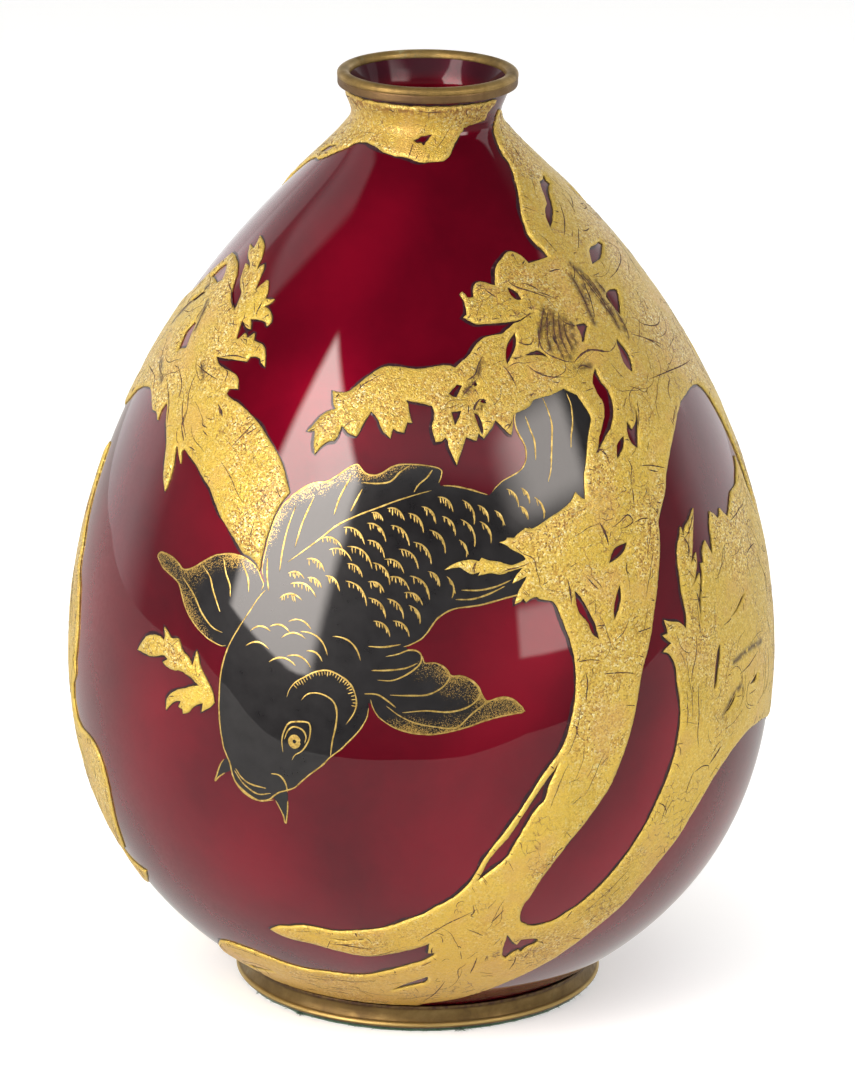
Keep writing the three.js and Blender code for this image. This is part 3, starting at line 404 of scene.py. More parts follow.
# ---- materials
def add_node(tree, kind, inputs, **properties):
    """A shader node; each input is a value or the socket that feeds it."""
    node = tree.nodes.new("ShaderNode" + kind)
    for key, value in properties.items():
        setattr(node, key, value)
    feed(tree, node, inputs)
    return node


def feed(tree, node, inputs):
    for key, value in inputs.items():
        socket = node.inputs[key]
        if isinstance(value, bpy.types.NodeSocket):
            tree.links.new(value, socket)
        else:
            socket.default_value = value


def map_range(tree, value, low, high, start=0.0, end=1.0, kind="SMOOTHSTEP"):
    inputs = {"Value": value, "From Min": low, "From Max": high, "To Min": start, "To Max": end}
    return add_node(tree, "MapRange", inputs, interpolation_type=kind).outputs["Result"]


def combine(tree, operation, a, b):
    return add_node(tree, "Math", {0: a, 1: b}, operation=operation).outputs[0]


def rgb(red, green, blue):
    """An sRGB colour, 0 to 255, as linear RGBA."""
    channels = [c / 255 for c in (red, green, blue)]
    return (*[c / 12.92 if c <= 0.04045 else ((c + 0.055) / 1.055) ** 2.4 for c in channels], 1)


class Shader:
    """A node material with one Principled shader."""

    def __init__(self, name, **settings):
        self.material = bpy.data.materials.new(name)
        self.material.use_nodes = True
        self.tree = self.material.node_tree
        self.surface = self.tree.nodes["Principled BSDF"]
        self.put(**settings)
        self.place = self.node("TexCoord", {}).outputs["Object"]

    def put(self, **settings):
        feed(self.tree, self.surface, {key.replace("_", " "): value for key, value in settings.items()})

    def node(self, kind, inputs, **properties):
        return add_node(self.tree, kind, inputs, **properties)

    def noise(self, scale, detail=4.0, roughness=0.55, distortion=0.0, at=None):
        return self.node("TexNoise", {"Vector": at or self.place, "Scale": scale, "Detail": detail,
                                      "Roughness": roughness, "Distortion": distortion}).outputs["Fac"]

    def cells(self, scale, feature="F1", at=None):
        """Voronoi cells: the distance to their middles or edges, and a random number for each."""
        node = self.node("TexVoronoi", {"Vector": at or self.place, "Scale": scale}, feature=feature)
        if feature != "F1":
            return node.outputs["Distance"], None
        return node.outputs["Distance"], self.node("SeparateColor", {0: node.outputs["Color"]}).outputs[0]

    def axis(self, name):
        """The place's X, Y or Z, in metres."""
        return self.node("SeparateXYZ", {"Vector": self.place}).outputs[name]

    def ramp(self, value, *stops):
        """Colours at positions along a value; each stop is (position, red, green, blue)."""
        node = self.node("ValToRGB", {"Fac": value})
        elements = node.color_ramp.elements
        for _ in stops[2:]:
            elements.new(0.5)
        for element, (position, *color) in zip(elements, stops):
            element.position = position
            element.color = rgb(*color)
        return node.outputs["Color"]

    def level(self, value, low, high, start=0.0, end=1.0):
        return map_range(self.tree, value, low, high, start, end)

    def falling(self, value, low, high):
        return self.level(value, low, high, 1.0, 0.0)

    def add(self, a, b):
        return combine(self.tree, "ADD", a, b)

    def product(self, first, *factors):
        for factor in factors:
            first = combine(self.tree, "MULTIPLY", first, factor)
        return first

    def tint(self, color, over, *shares):
        """A colour with another one over it, as strong as the product of the shares."""
        inputs = {"Fac": self.product(*shares), "Color1": color, "Color2": rgb(*over)}
        return self.node("MixRGB", inputs).outputs["Color"]

    def warp(self, amount, scale):
        """The place, shifted about by noise."""
        shift = self.node("TexNoise", {"Vector": self.place, "Scale": scale, "Detail": 3.0}).outputs["Color"]
        centred = self.vector("SUBTRACT", {0: shift, 1: (0.5, 0.5, 0.5)})
        return self.vector("ADD", {0: self.place, 1: self.vector("SCALE", {0: centred, "Scale": amount})})

    def vector(self, operation, inputs):
        return self.node("VectorMath", inputs, operation=operation).outputs[0]

    def bump(self, height, distance, strength=1.0, under=None):
        settings = {"Height": height, "Distance": distance, "Strength": strength}
        if under is not None:
            settings["Normal"] = under
        return self.node("Bump", settings).outputs["Normal"]

    def value(self, name):
        return self.node("Attribute", {}, attribute_name=name).outputs["Fac"]

    def finish(self, **settings):
        self.put(**settings)
        return self.material


def ruby_enamel(name="ruby_enamel", waves=0.12, grimy=False):
    """Clouded crimson under a clear gloss; the inside is dull and dark below the rim."""
    s = Shader(name, Metallic=0.4, Specular_IOR_Level=0.0, Coat_Weight=1.0, Coat_Roughness=0.015,
               Coat_IOR=1.52)
    clouds = s.noise(14.0, 5.0, 0.6, at=s.warp(0.03, 20.0))
    color = s.ramp(clouds, (0.32, 54, 1, 12), (0.52, 76, 2, 17), (0.72, 93, 4, 22))
    # painted light: the glow attribute brightens the crimson at set patches
    color = s.tint(color, (116, 5, 28), s.value("glow"), s.level(clouds, 0.25, 0.7, 0.7, 1.0))
    specks, _ = s.cells(900.0)
    rare = s.level(s.noise(260.0, 2.0), 0.62, 0.72)
    color = s.tint(color, (70, 12, 20), s.falling(specks, 0.05, 0.16), rare)
    if grimy:
        height = s.axis("Z")
        color = s.tint(color, (92, 3, 18), s.level(height, 0.270, 0.284, 0.0, 0.6))
        grime = s.level(s.add(height, s.product(clouds, 0.008)), 0.2915, 0.2975)
        color = s.tint(color, (50, 22, 30), grime, 0.9)
        s.put(Coat_Weight=s.level(grime, 0.0, 1.0, 0.6, 0.25))
    shimmer = s.noise(700.0, 3.0)
    ripple = s.noise(60.0, 2.0)
    return s.finish(Base_Color=color, Roughness=s.level(shimmer, 0.3, 0.7, 0.30, 0.42),
                    Coat_Normal=s.bump(ripple, 0.0001, waves))


def black_enamel():
    """Glossy black with gold dust where the mesh's dust attribute asks for it."""
    s = Shader("black_enamel", Specular_IOR_Level=0.1, Coat_Weight=1.0, Coat_Roughness=0.02, Coat_IOR=1.5)
    mottle = s.noise(180.0, 5.0, 0.65)
    color = s.ramp(mottle, (0.3, 16, 15, 16), (0.7, 26, 25, 26))
    _, grain = s.cells(5200.0)
    amount = s.value("dust")
    dust = s.product(s.level(combine(s.tree, "SUBTRACT", amount, grain), -0.05, 0.08),
                     s.level(amount, 0.03, 0.14))
    color = s.tint(color, (186, 152, 78), dust)
    return s.finish(Base_Color=color, Metallic=s.product(dust, 0.8),
                    Roughness=s.level(mottle, 0.3, 0.7, 0.28, 0.4))


def gold_leaf():
    """Leaf over a coarse paste: glittering grains, brown in the hollows, crazed, smoother low down."""
    s = Shader("gold_leaf", Coat_Weight=0.2, Coat_Roughness=0.28)
    grains, speck = s.cells(2000.0, at=s.warp(0.0005, 1500.0))
    clumps = s.noise(620.0, 3.0, 0.6)
    height = s.axis("Z")
    color = s.ramp(speck, (0.0, 96, 62, 22), (0.2, 176, 132, 50), (0.45, 216, 184, 88),
                   (0.8, 234, 208, 112), (1.0, 252, 248, 204))
    color = s.tint(color, (172, 126, 52), s.falling(clumps, 0.36, 0.50), 0.45)
    patches = s.level(s.noise(38.0, 4.0, 0.6), 0.40, 0.62)
    color = s.tint(color, (208, 178, 60), patches, 0.6)
    # painted shade: the gold over the upper right is toned darker
    right_shoulder_shade = s.product(s.level(height, 0.19, 0.215), s.level(s.axis("X"), -0.045, -0.02))
    color = s.tint(color, (118, 84, 44), right_shoulder_shade, 0.24)
    smooth = s.product(s.falling(height, 0.10, 0.145), s.level(s.noise(30.0, 4.0), 0.36, 0.56))
    color = s.tint(color, (217, 184, 74), smooth, 0.65)
    tan = s.level(s.noise(64.0, 3.0), 0.52, 0.68)
    color = s.tint(color, (206, 162, 92), tan, 0.4)
    color = s.tint(color, (190, 128, 50), s.level(height, 0.006, 0.085, 0.42, 0.0))
    under_rim = s.product(s.level(height, 0.2885, 0.292), s.falling(clumps, 0.45, 0.55))
    color = s.tint(color, (116, 62, 26), under_rim, 0.8)
    crazing, _ = s.cells(330.0, "DISTANCE_TO_EDGE", at=s.warp(0.004, 200.0))
    crazed = s.product(s.falling(crazing, 0.01, 0.06), s.level(s.noise(48.0, 4.0), 0.52, 0.62),
                       s.level(clumps, 0.42, 0.55))
    color = s.tint(color, (112, 66, 46), crazed, 0.75)
    # brown stains, and a painted shadow beside the drooping leaf
    color = s.tint(color, (72, 46, 22), s.value("stain_and_shadow"), s.level(s.noise(420.0, 4.0), 0.34, 0.50))
    color = s.tint(color, (224, 194, 94), s.falling(s.value("edge_mm"), 0.3, 1.4), 0.55)
    grain_height = s.add(s.falling(grains, 0.0, 0.7), s.product(speck, 0.8))
    normal = s.bump(grain_height, 0.00018, s.level(smooth, 0.0, 1.0, 1.0, 0.45))
    normal = s.bump(clumps, 0.0005, 0.6, normal)
    normal = s.bump(s.product(crazed, -1.0), 0.0002, 0.8, normal)
    return s.finish(Base_Color=color, Metallic=s.level(speck, 0.0, 1.0, 0.45, 0.8),
                    Roughness=s.level(clumps, 0.3, 0.7, 0.48, 0.34), Normal=normal)


def aged_brass():
    """Stained brass: dark at the foot, with a painted highlight along the bead, a brown band on the rim and
    verdigris.
    """
    s = Shader("aged_brass")
    stains = s.noise(70.0, 6.0, 0.65, at=s.warp(0.008, 60.0))
    fine = s.noise(600.0, 4.0, 0.6)
    height = s.axis("Z")
    color = s.ramp(stains, (0.3, 104, 84, 50), (0.5, 146, 120, 68), (0.72, 182, 154, 98))
    color = s.tint(color, (66, 47, 30), s.level(height, 0.01, 0.05, 0.5, 0.0))
    fillet = s.product(s.level(height, 0.0070, 0.0078), s.falling(height, 0.02, 0.03))
    color = s.tint(color, (66, 44, 42), fillet, s.level(fine, 0.3, 0.62, 0.9, 0.3))
    # painted highlight: a lighter line along the bead
    bead = s.product(s.level(height, 0.0022, 0.0026), s.falling(height, 0.0032, 0.0036))
    color = s.tint(color, (196, 168, 104), bead, 0.8)
    color = s.tint(color, (38, 30, 24), s.falling(height, 0.0015, 0.0020))
    band = s.product(s.level(height, 0.2, 0.25), s.level(height, 0.2964, 0.2970, 0.6, 0.0))
    color = s.tint(color, (92, 66, 54), band)
    verdigris = s.product(s.level(s.noise(38.0, 4.0), 0.58, 0.70), s.level(fine, 0.45, 0.6))
    color = s.tint(color, (104, 110, 82), verdigris, 0.6)
    streaks = s.node("Mapping", {"Vector": s.place, "Scale": (1.0, 1.0, 14.0)}).outputs["Vector"]
    brushed = s.noise(260.0, 3.0, at=streaks)
    return s.finish(Base_Color=color, Roughness=s.level(stains, 0.3, 0.7, 0.55, 0.38),
                    Metallic=s.level(verdigris, 0.0, 1.0, 0.8, 0.4),
                    Normal=s.bump(s.add(fine, brushed), 0.00012, 0.5))


def worn(name, texture, stops, bumps, roughness=None, **settings):
    """A material of one noise texture: its colours, its bump and, if given, its range of roughness."""
    s = Shader(name, **settings)
    wear = s.noise(*texture)
    if roughness:
        s.put(Roughness=s.level(wear, 0.3, 0.7, *roughness))
    return s.finish(Base_Color=s.ramp(wear, *stops), Normal=s.bump(wear, *bumps))


RUBY = ruby_enamel()
RUBY_INSIDE = ruby_enamel("inside_enamel", 1.0, grimy=True)
BLACK = black_enamel()
GOLD = gold_leaf()
BRASS = aged_brass()
GILT = worn("gilt_line", (700.0, 4.0, 0.65),
            [(0.3, 128, 102, 46), (0.5, 190, 160, 84), (0.75, 224, 198, 124)],
            (0.0001, 0.6), (0.45, 0.3), Metallic=0.75)
FELT = worn("green_felt", (1600.0, 6.0, 0.7, 1.5),
            [(0.3, 22, 44, 28), (0.55, 44, 84, 54), (0.75, 88, 132, 92)],
            (0.0005, 0.8), Roughness=0.95, Sheen_Weight=0.6, Sheen_Roughness=0.5)
COPPER = worn("bare_copper", (90.0, 5.0, 0.6), [(0.3, 112, 62, 40), (0.7, 188, 116, 80)],
              (0.0002, 0.3), (0.5, 0.3), Metallic=1.0)
# dark enamel beside the gold, also standing in as painted shade along its edges
OUTLINE = worn("dark_outline", (900.0, 4.0, 0.6), [(0.35, 26, 10, 16), (0.6, 44, 14, 24), (0.8, 90, 60, 50)],
               (0.0001, 0.5), (0.3, 0.5), Specular_IOR_Level=0.2, Coat_Weight=0.45, Coat_Roughness=0.05)
CRACK = worn("crack_brown", (800.0, 4.0, 0.6), [(0.35, 36, 20, 20), (0.58, 72, 42, 32), (0.78, 124, 86, 50)],
             (0.0001, 0.5), (0.6, 0.8), Specular_IOR_Level=0.3)


# ---- the vessel: layers from the outside in, by their depth under the wall in millimetres
GROUND = (0.0, 0.9)
COPPER_SHELL = (0.95, 2.15)
LINING = (2.2, 2.7)
OUTER_BEND = 2.2        # how far in from the wall the flat base starts
INNER_BEND = 1.9        # and the floor, which is a little higher there
FLOOR_RISE = 0.1
FLOOR_EDGE = 6.0


def layer(depths, rings):
    """Profile of a wall layer: up its outside and down its inside."""
    profile = []
    for depth, count, order in zip(depths, rings, (1, -1)):
        s = np.linspace(0, wall_s[-1], count)[::order]
        radius = np.interp(s, wall_s, wall_r) - depth * np.interp(s, wall_s, wall_nr)
        height = np.interp(s, wall_s, wall_z) - depth * np.interp(s, wall_s, wall_nz)
        profile += list(zip(*neck(radius, height)))
    return profile


def vessel(depths, floor, rings):
    """Profile of a layer with its own floor, closed on the axis."""
    profile = layer(depths, rings)
    top = floor + (depths[1] - depths[0])
    inside_base = profile[-1][0]
    bottom = [(0, floor), (profile[0][0] - OUTER_BEND, floor)]
    return bottom + profile + [(inside_base - INNER_BEND, top + FLOOR_RISE), (inside_base - FLOOR_EDGE, top),
                               (0, top)]


def box_in_mm(node):
    """Lowest and highest corner of a CAD node."""
    low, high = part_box(node)
    return low / MM, high / MM


ground = revolve("ruby_ground", layer(GROUND, (190, 60)), 224, RUBY, ["ruby_enamel_ground"])
# painted light: patches where the crimson is brightened, as where light shines through the enamel to its
# foil: angle, height, reach in millimetres, amount
GLOWS = [(-27, 246, 18, 0.5), (-16, 262, 12, 0.4), (-28, 212, 18, 0.6), (-8, 226, 14, 0.1),
         (-30, 66, 22, 0.6), (8, 70, 24, 0.7), (-14, 36, 18, 0.6), (-52, 88, 24, 0.7), (-46, 116, 16, 0.6),
         (14, 128, 20, 0.6), (22, 150, 18, 0.7), (36, 66, 18, 0.8), (28, 44, 14, 0.8), (44, 84, 18, 0.9),
         (46, 104, 14, 0.9), (50, 130, 16, 0.8), (-40, 176, 18, 0.5), (-75, 130, 26, 0.7), (70, 60, 26, 0.6),
         (120, 120, 60, 0.6), (170, 200, 50, 0.6), (-140, 80, 60, 0.6), (-110, 220, 40, 0.6)]
places = np.array([v.co for v in ground.data.vertices]) / MM
glow = np.zeros(len(places))
for angle, height, reach, amount in GLOWS:
    middle = on_wall(drawn((angle, height)))
    glow += amount * np.exp(-(np.linalg.norm(places - middle, axis=1) / reach) ** 2)
attribute(ground, "glow", np.clip(glow, 0, 1))
copper_floor = box_in_mm("copper_body")[0].z
revolve("copper_shell", vessel(COPPER_SHELL, copper_floor, (90, 60)), 128, COPPER, ["copper_body"])
lining_floor = box_in_mm("interior_enamel")[0].z
revolve("inside_lining", vessel(LINING, lining_floor, (60, 110)), 160, RUBY_INSIDE,
        ["interior_enamel"])
base_corner = box_in_mm("base_enamel")[1]
BASE_GLAZE = 0.5        # thickness of the enamel under the base
base_profile = [(0, base_corner.z - BASE_GLAZE, 0), (base_corner.x, base_corner.z - BASE_GLAZE, 0.2),
                (base_corner.x, base_corner.z, 0.2), (0, base_corner.z, 0)]
revolve("base_glaze", rounded(base_profile), 96, RUBY, ["base_enamel"])

# ---- brass rim and foot ring: corners as (radius, height, rounding), going round the section
RIM = [(27.35, 296.5, 0.1), (27.35, 294.3, 0.2), (27.95, 294.1, 0.3), (28.15, 294.6, 0.2),
       (28.2, 296.4, 0.15), (28.0, 296.7, 0.1), (28.3, 297.0, 0.2), (28.25, 298.1, 0.8),
       (27.2, 298.95, 1.0), (25.6, 299.0, 0.9), (24.5, 298.2, 0.6), (24.2, 297.0, 0.3), (24.3, 296.5, 0.1)]
FOOT = [(53.6, 1.3, 0.1), (58.0, 1.3, 0.4), (58.75, 1.9, 0.6), (59.0, 2.6, 0.5), (58.6, 3.25, 0.3),
        (57.9, 3.5, 0.3), (57.35, 4.4, 1.0), (57.05, 5.8, 1.4), (57.2, 7.3, 0.8), (57.65, 7.9, 0.3),
        (57.75, 8.6, 0.3), (57.4, 8.8, 0.1), (53.6, 6.3, 0.2)]
revolve("brass_rim", rounded(RIM), 160, BRASS, ["mouth_rim"], sharp=50.0)
revolve("brass_foot", rounded(FOOT), 192, BRASS, ["foot_ring"], sharp=50.0)

# ---- felt pad with loose fibres
FELT_TURNS = 220
FIBRES = 240
TUFT_FIBRES = 80                                    # of the fibres, those in two tufts at the front
TUFTS = [math.radians(-40), math.radians(14)]
FIBRE_WIDTH = 0.09


def disc(radius, thickness):
    """Points and faces of a pad with a rounded, ragged edge."""
    rows = [(0.0, 0.0), (30.0, 0.0), (radius - 0.6, 0.0), (radius - 0.1, 0.25), (radius, 0.6),
            (radius - 0.1, 0.95), (radius - 0.6, thickness), (30.0, thickness), (0.0, thickness)]
    points = []
    faces = []
    for row, (r, z) in enumerate(rows):
        for j in range(FELT_TURNS):
            t = FULL_TURN * j / FELT_TURNS
            ragged = 0.35 * noise.noise(Vector((math.cos(t) * 18, math.sin(t) * 18, z))) if r > 50 else 0
            points.append(((r + ragged) * math.sin(t), -(r + ragged) * math.cos(t), z))
            if row:
                k = (j + 1) % FELT_TURNS
                below, here = (row - 1) * FELT_TURNS, row * FELT_TURNS
                faces.append((below + j, below + k, here + k, here + j))
    return points, faces


def felt():
    radius, _, thickness = box_in_mm("felt_pad")[1]
    points, faces = disc(radius, thickness)
    for number in range(FIBRES):
        t = rng.uniform(0, FULL_TURN)
        lengths = (0.6, 2.4)
        if number < TUFT_FIBRES:
            t = TUFTS[number % 2] + rng.normal(0, 0.012)
            lengths = (1.4, 3.2)
        start = np.array([radius * math.sin(t), -radius * math.cos(t), rng.uniform(0.15, 1.05)])
        out = np.array([math.sin(t), -math.cos(t), 0])
        side = np.array([math.cos(t), math.sin(t), 0])
        length = rng.uniform(*lengths)
        tip = start + out * length * rng.uniform(0.3, 1) + side * length * rng.uniform(-1, 1)
        tip[2] = max(0.03, tip[2] + rng.uniform(-0.7, 0.2))
        a = len(points)
        points += [start - side * FIBRE_WIDTH, start + side * FIBRE_WIDTH,
                   start + np.array([0, 0, FIBRE_WIDTH * 1.6]), tip]
        faces += [(a, a + 1, a + 3), (a + 1, a + 2, a + 3), (a + 2, a, a + 3), (a, a + 2, a + 1)]
    make("felt_base", points, faces, FELT, ["felt_pad"], sharp=60.0)


felt()


# ---- gold relief
GOLD_SWELL = 0.14       # how much the relief's top rises and falls
GOLD_SPACING = 1.05     # between the points of its top
OUTLINE_SPACING = 0.8   # between the points of a smoothed outline
STAIN_AND_SHADOW_WIDTH = 0.95
GOLD_NODES = ("neck_collar_relief", "right_tree_relief", "left_foliage_relief", "left_sprig_relief",
              "left_back_tree_relief", "back_tree_relief", "back_sprig_relief")


def relief_lift(places, far):
    rise = np.clip(far / GOLD_RISE, 0, 1)
    rise = rise * rise * (3 - 2 * rise)
    swell = noises(places, 0.09) + 0.5 * noises(places, 0.35)
    return GOLD_EDGE + (GOLD_CROWN - GOLD_EDGE) * rise + GOLD_SWELL * swell * rise


def corrected(node, loop):
    """A loop with the few places moved where the photograph differs from the CAD outline."""
    angle, height = np.degrees(loop[:, 0]), np.interp(loop[:, 1], wall_w, wall_z)
    if node == "neck_collar_relief":
        at_corner = np.clip((angle - 35) / 25, 0, 1) * (angle < 95)
        angle = angle - 10 * at_corner * np.clip((height - 285) / 6, 0, 1)
    if node == "left_foliage_relief":
        height = np.minimum(height, np.interp(angle, (-95, -88, -82, -77), (221, 229, 240, 262)))
    if node == "left_back_tree_relief":
        back = np.interp(height, (110, 122, 134, 149, 158, 200), (0, 3.5, 5, 8, 12, 13))
        angle = angle - back * np.clip((angle + 115) / 25, 0, 1)
    return drawn(np.stack([angle, height], axis=1))


def smooth_path(path, spacing=0.45):
    """A Catmull-Rom curve through a path of (angle, w)."""
    if len(path) < 3:
        path = np.array([path[0], (path[0] + path[-1]) / 2, path[-1]])
    padded = np.concatenate([[2 * path[0] - path[1]], path, [2 * path[-1] - path[-2]]])
    result = []
    for i in range(1, len(padded) - 2):
        p0, p1, p2, p3 = padded[i - 1:i + 3]
        count = max(2, int(np.linalg.norm(p2 - p1) * radius_at(p1[1]) / spacing))
        t = (np.arange(count) / count)[:, None]
        result.append(0.5 * (2 * p1 + (p2 - p0) * t + (2 * p0 - 5 * p1 + 4 * p2 - p3) * t ** 2
                             + (3 * p1 - p0 - 3 * p2 + p3) * t ** 3))
    return np.concatenate(result + [padded[-2:-1]])


# Drawn strokes are degrees and heights in turn. These are brown stains in the leaf, with painted shade: a
# drooping leaf, the painted shadow beside it, twigs and the foot.
STAINS_AND_SHADOW = [
    (33.4, 236.5, 31, 232.5, 28.8, 228), (34.5, 236, 32.2, 231, 31.3, 225.5),
    (35.6, 234.8, 33.8, 229, 34, 223.5), (36.8, 234, 35.4, 228, 35.9, 222.8),
    (38.4, 233, 37.2, 229, 37.4, 224.5), (40, 231.5, 39, 229, 38.9, 226),
    (50, 246, 52, 241, 53, 236.5, 54.5, 231.5, 55, 227), (52, 244, 54, 238.5, 55.6, 231),
    (56.5, 239.8, 57.8, 233, 56.5, 224.5), (50, 240, 49.2, 235), (47.6, 243, 47.7, 237, 47.2, 230),
    (36.4, 219.8, 38.6, 219.8, 40.6, 219.6), (13.5, 224, 11.5, 220, 9, 216.5),
    (13, 213.5, 11, 211, 11.6, 208.6), (56.5, 108, 59, 112.5, 62, 115), (60, 124, 66, 125, 72, 124),
    (-71, 229, -69.3, 226, -67.8, 220), (-57, 214, -55, 211), (-77, 232, -82, 224, -86, 217),
    (-76, 209, -70, 205),
]

stain_and_shadow_tree = tree_of(np.concatenate([smooth_path(drawn(stroke)) for stroke in STAINS_AND_SHADOW]))
gold_loops = []
gold_spots = []
for node in GOLD_NODES:
    loops = [soften(corrected(node, loop), OUTLINE_SPACING, 0.14) for loop in outlines(node)]
    gold_loops += loops
    piece, spots, places, far = slab(node.replace("relief", "gold"), loops, GOLD_SPACING, relief_lift,
                                     GOLD, [node])
    gold_spots.append(spots[far > 1.0])
    # brown stains and painted shadow along the drawn strokes
    stain_and_shadow = np.exp(-(distances(stain_and_shadow_tree, places) / STAIN_AND_SHADOW_WIDTH) ** 2)
    attribute(piece, "stain_and_shadow", np.tile(stain_and_shadow, 2))
gold_spots = np.concatenate(gold_spots)
gold_rim = along(gold_loops)
gold_tree = tree_of(gold_rim)


def strip(path, left, right, base, crest, under=BURIED, closed=False):
    """Points and faces of a low ridge along a path, with its width each side of the path."""
    ahead = np.roll(path, -1, axis=0) - np.roll(path, 1, axis=0)
    if not closed:
        ahead[0] = path[1] - path[0]
        ahead[-1] = path[-1] - path[-2]
    ahead = unit(ahead)
    across = np.stack([-ahead[:, 1], ahead[:, 0]], axis=1)
    radius = radius_at(path[:, 1])[:, None]
    spots_left = path + across * left[:, None] / radius
    spots_right = path - across * right[:, None] / radius
    middle = (spots_left + spots_right) / 2
    section = [on_wall(spots_left, base), on_wall(middle, crest), on_wall(spots_right, base),
               on_wall(middle, under)]
    count = len(path)
    points = np.stack(section, axis=1).reshape(-1, 3)
    faces = []
    for i in range(count if closed else count - 1):
        j = (i + 1) % count
        for k in range(4):
            m = (k + 1) % 4
            faces.append((4 * i + k, 4 * i + m, 4 * j + m, 4 * j + k))
    if not closed:
        last = 4 * (count - 1)
        faces += [(0, 3, 2, 1), (last, last + 1, last + 2, last + 3)]
    return points, faces


def joined(name, parts, material, replaces=()):
    points = []
    faces = []
    for part_points, part_faces in parts:
        faces += [tuple(c + len(points) for c in face) for face in part_faces]
        points += list(part_points)
    return make(name, points, faces, material, replaces, sharp=70.0)


# a thin dark line beside the gold: partly dark enamel at the joint, partly painted shade along the gold's
# edges
OUTLINE_UNDER = 0.2     # how far it reaches under the gold
OUTLINE_HEIGHTS = (0.01, 0.05)
outline_parts = []
for loop in gold_loops:
    unsteady = noises(on_wall(loop), 0.16)
    ahead = unit(np.roll(loop, -1, axis=0) - np.roll(loop, 1, axis=0))
    width = np.clip(0.6 - 0.4 * ahead[:, 1] + 0.8 * unsteady, 0.12, 1.4)
    under = np.full(len(loop), OUTLINE_UNDER)
    outline_parts.append(strip(loop, under, width, *OUTLINE_HEIGHTS, closed=True))
joined("dark_outline_and_edge_shade", outline_parts, OUTLINE)

# ---- cracks and drawn lines in the gold
CRACK_SPACING = 0.6
CRACK_TOP = 0.05        # above the relief
CRACK_SIDE = -0.02
CRACK_ROOT = -0.3
crack_parts = []


def crack(path, width):
    """A dark line on the relief along a path of (angle, w), only where there is gold."""
    path = smooth_path(path, CRACK_SPACING)
    path = path[inside(path, gold_loops)]
    if len(path) < 3:
        return
    places = on_wall(path)
    lift = relief_lift(places, distances(gold_tree, places))
    share = np.linspace(0, 1, len(path))
    half = width / 2 * np.clip(np.sin(np.pi * share) ** 0.5, 0.15, 1) * (1 + 0.6 * noises(places, 1.3))
    crack_parts.append(strip(path, half, half, lift + CRACK_SIDE, lift + CRACK_TOP, lift + CRACK_ROOT))


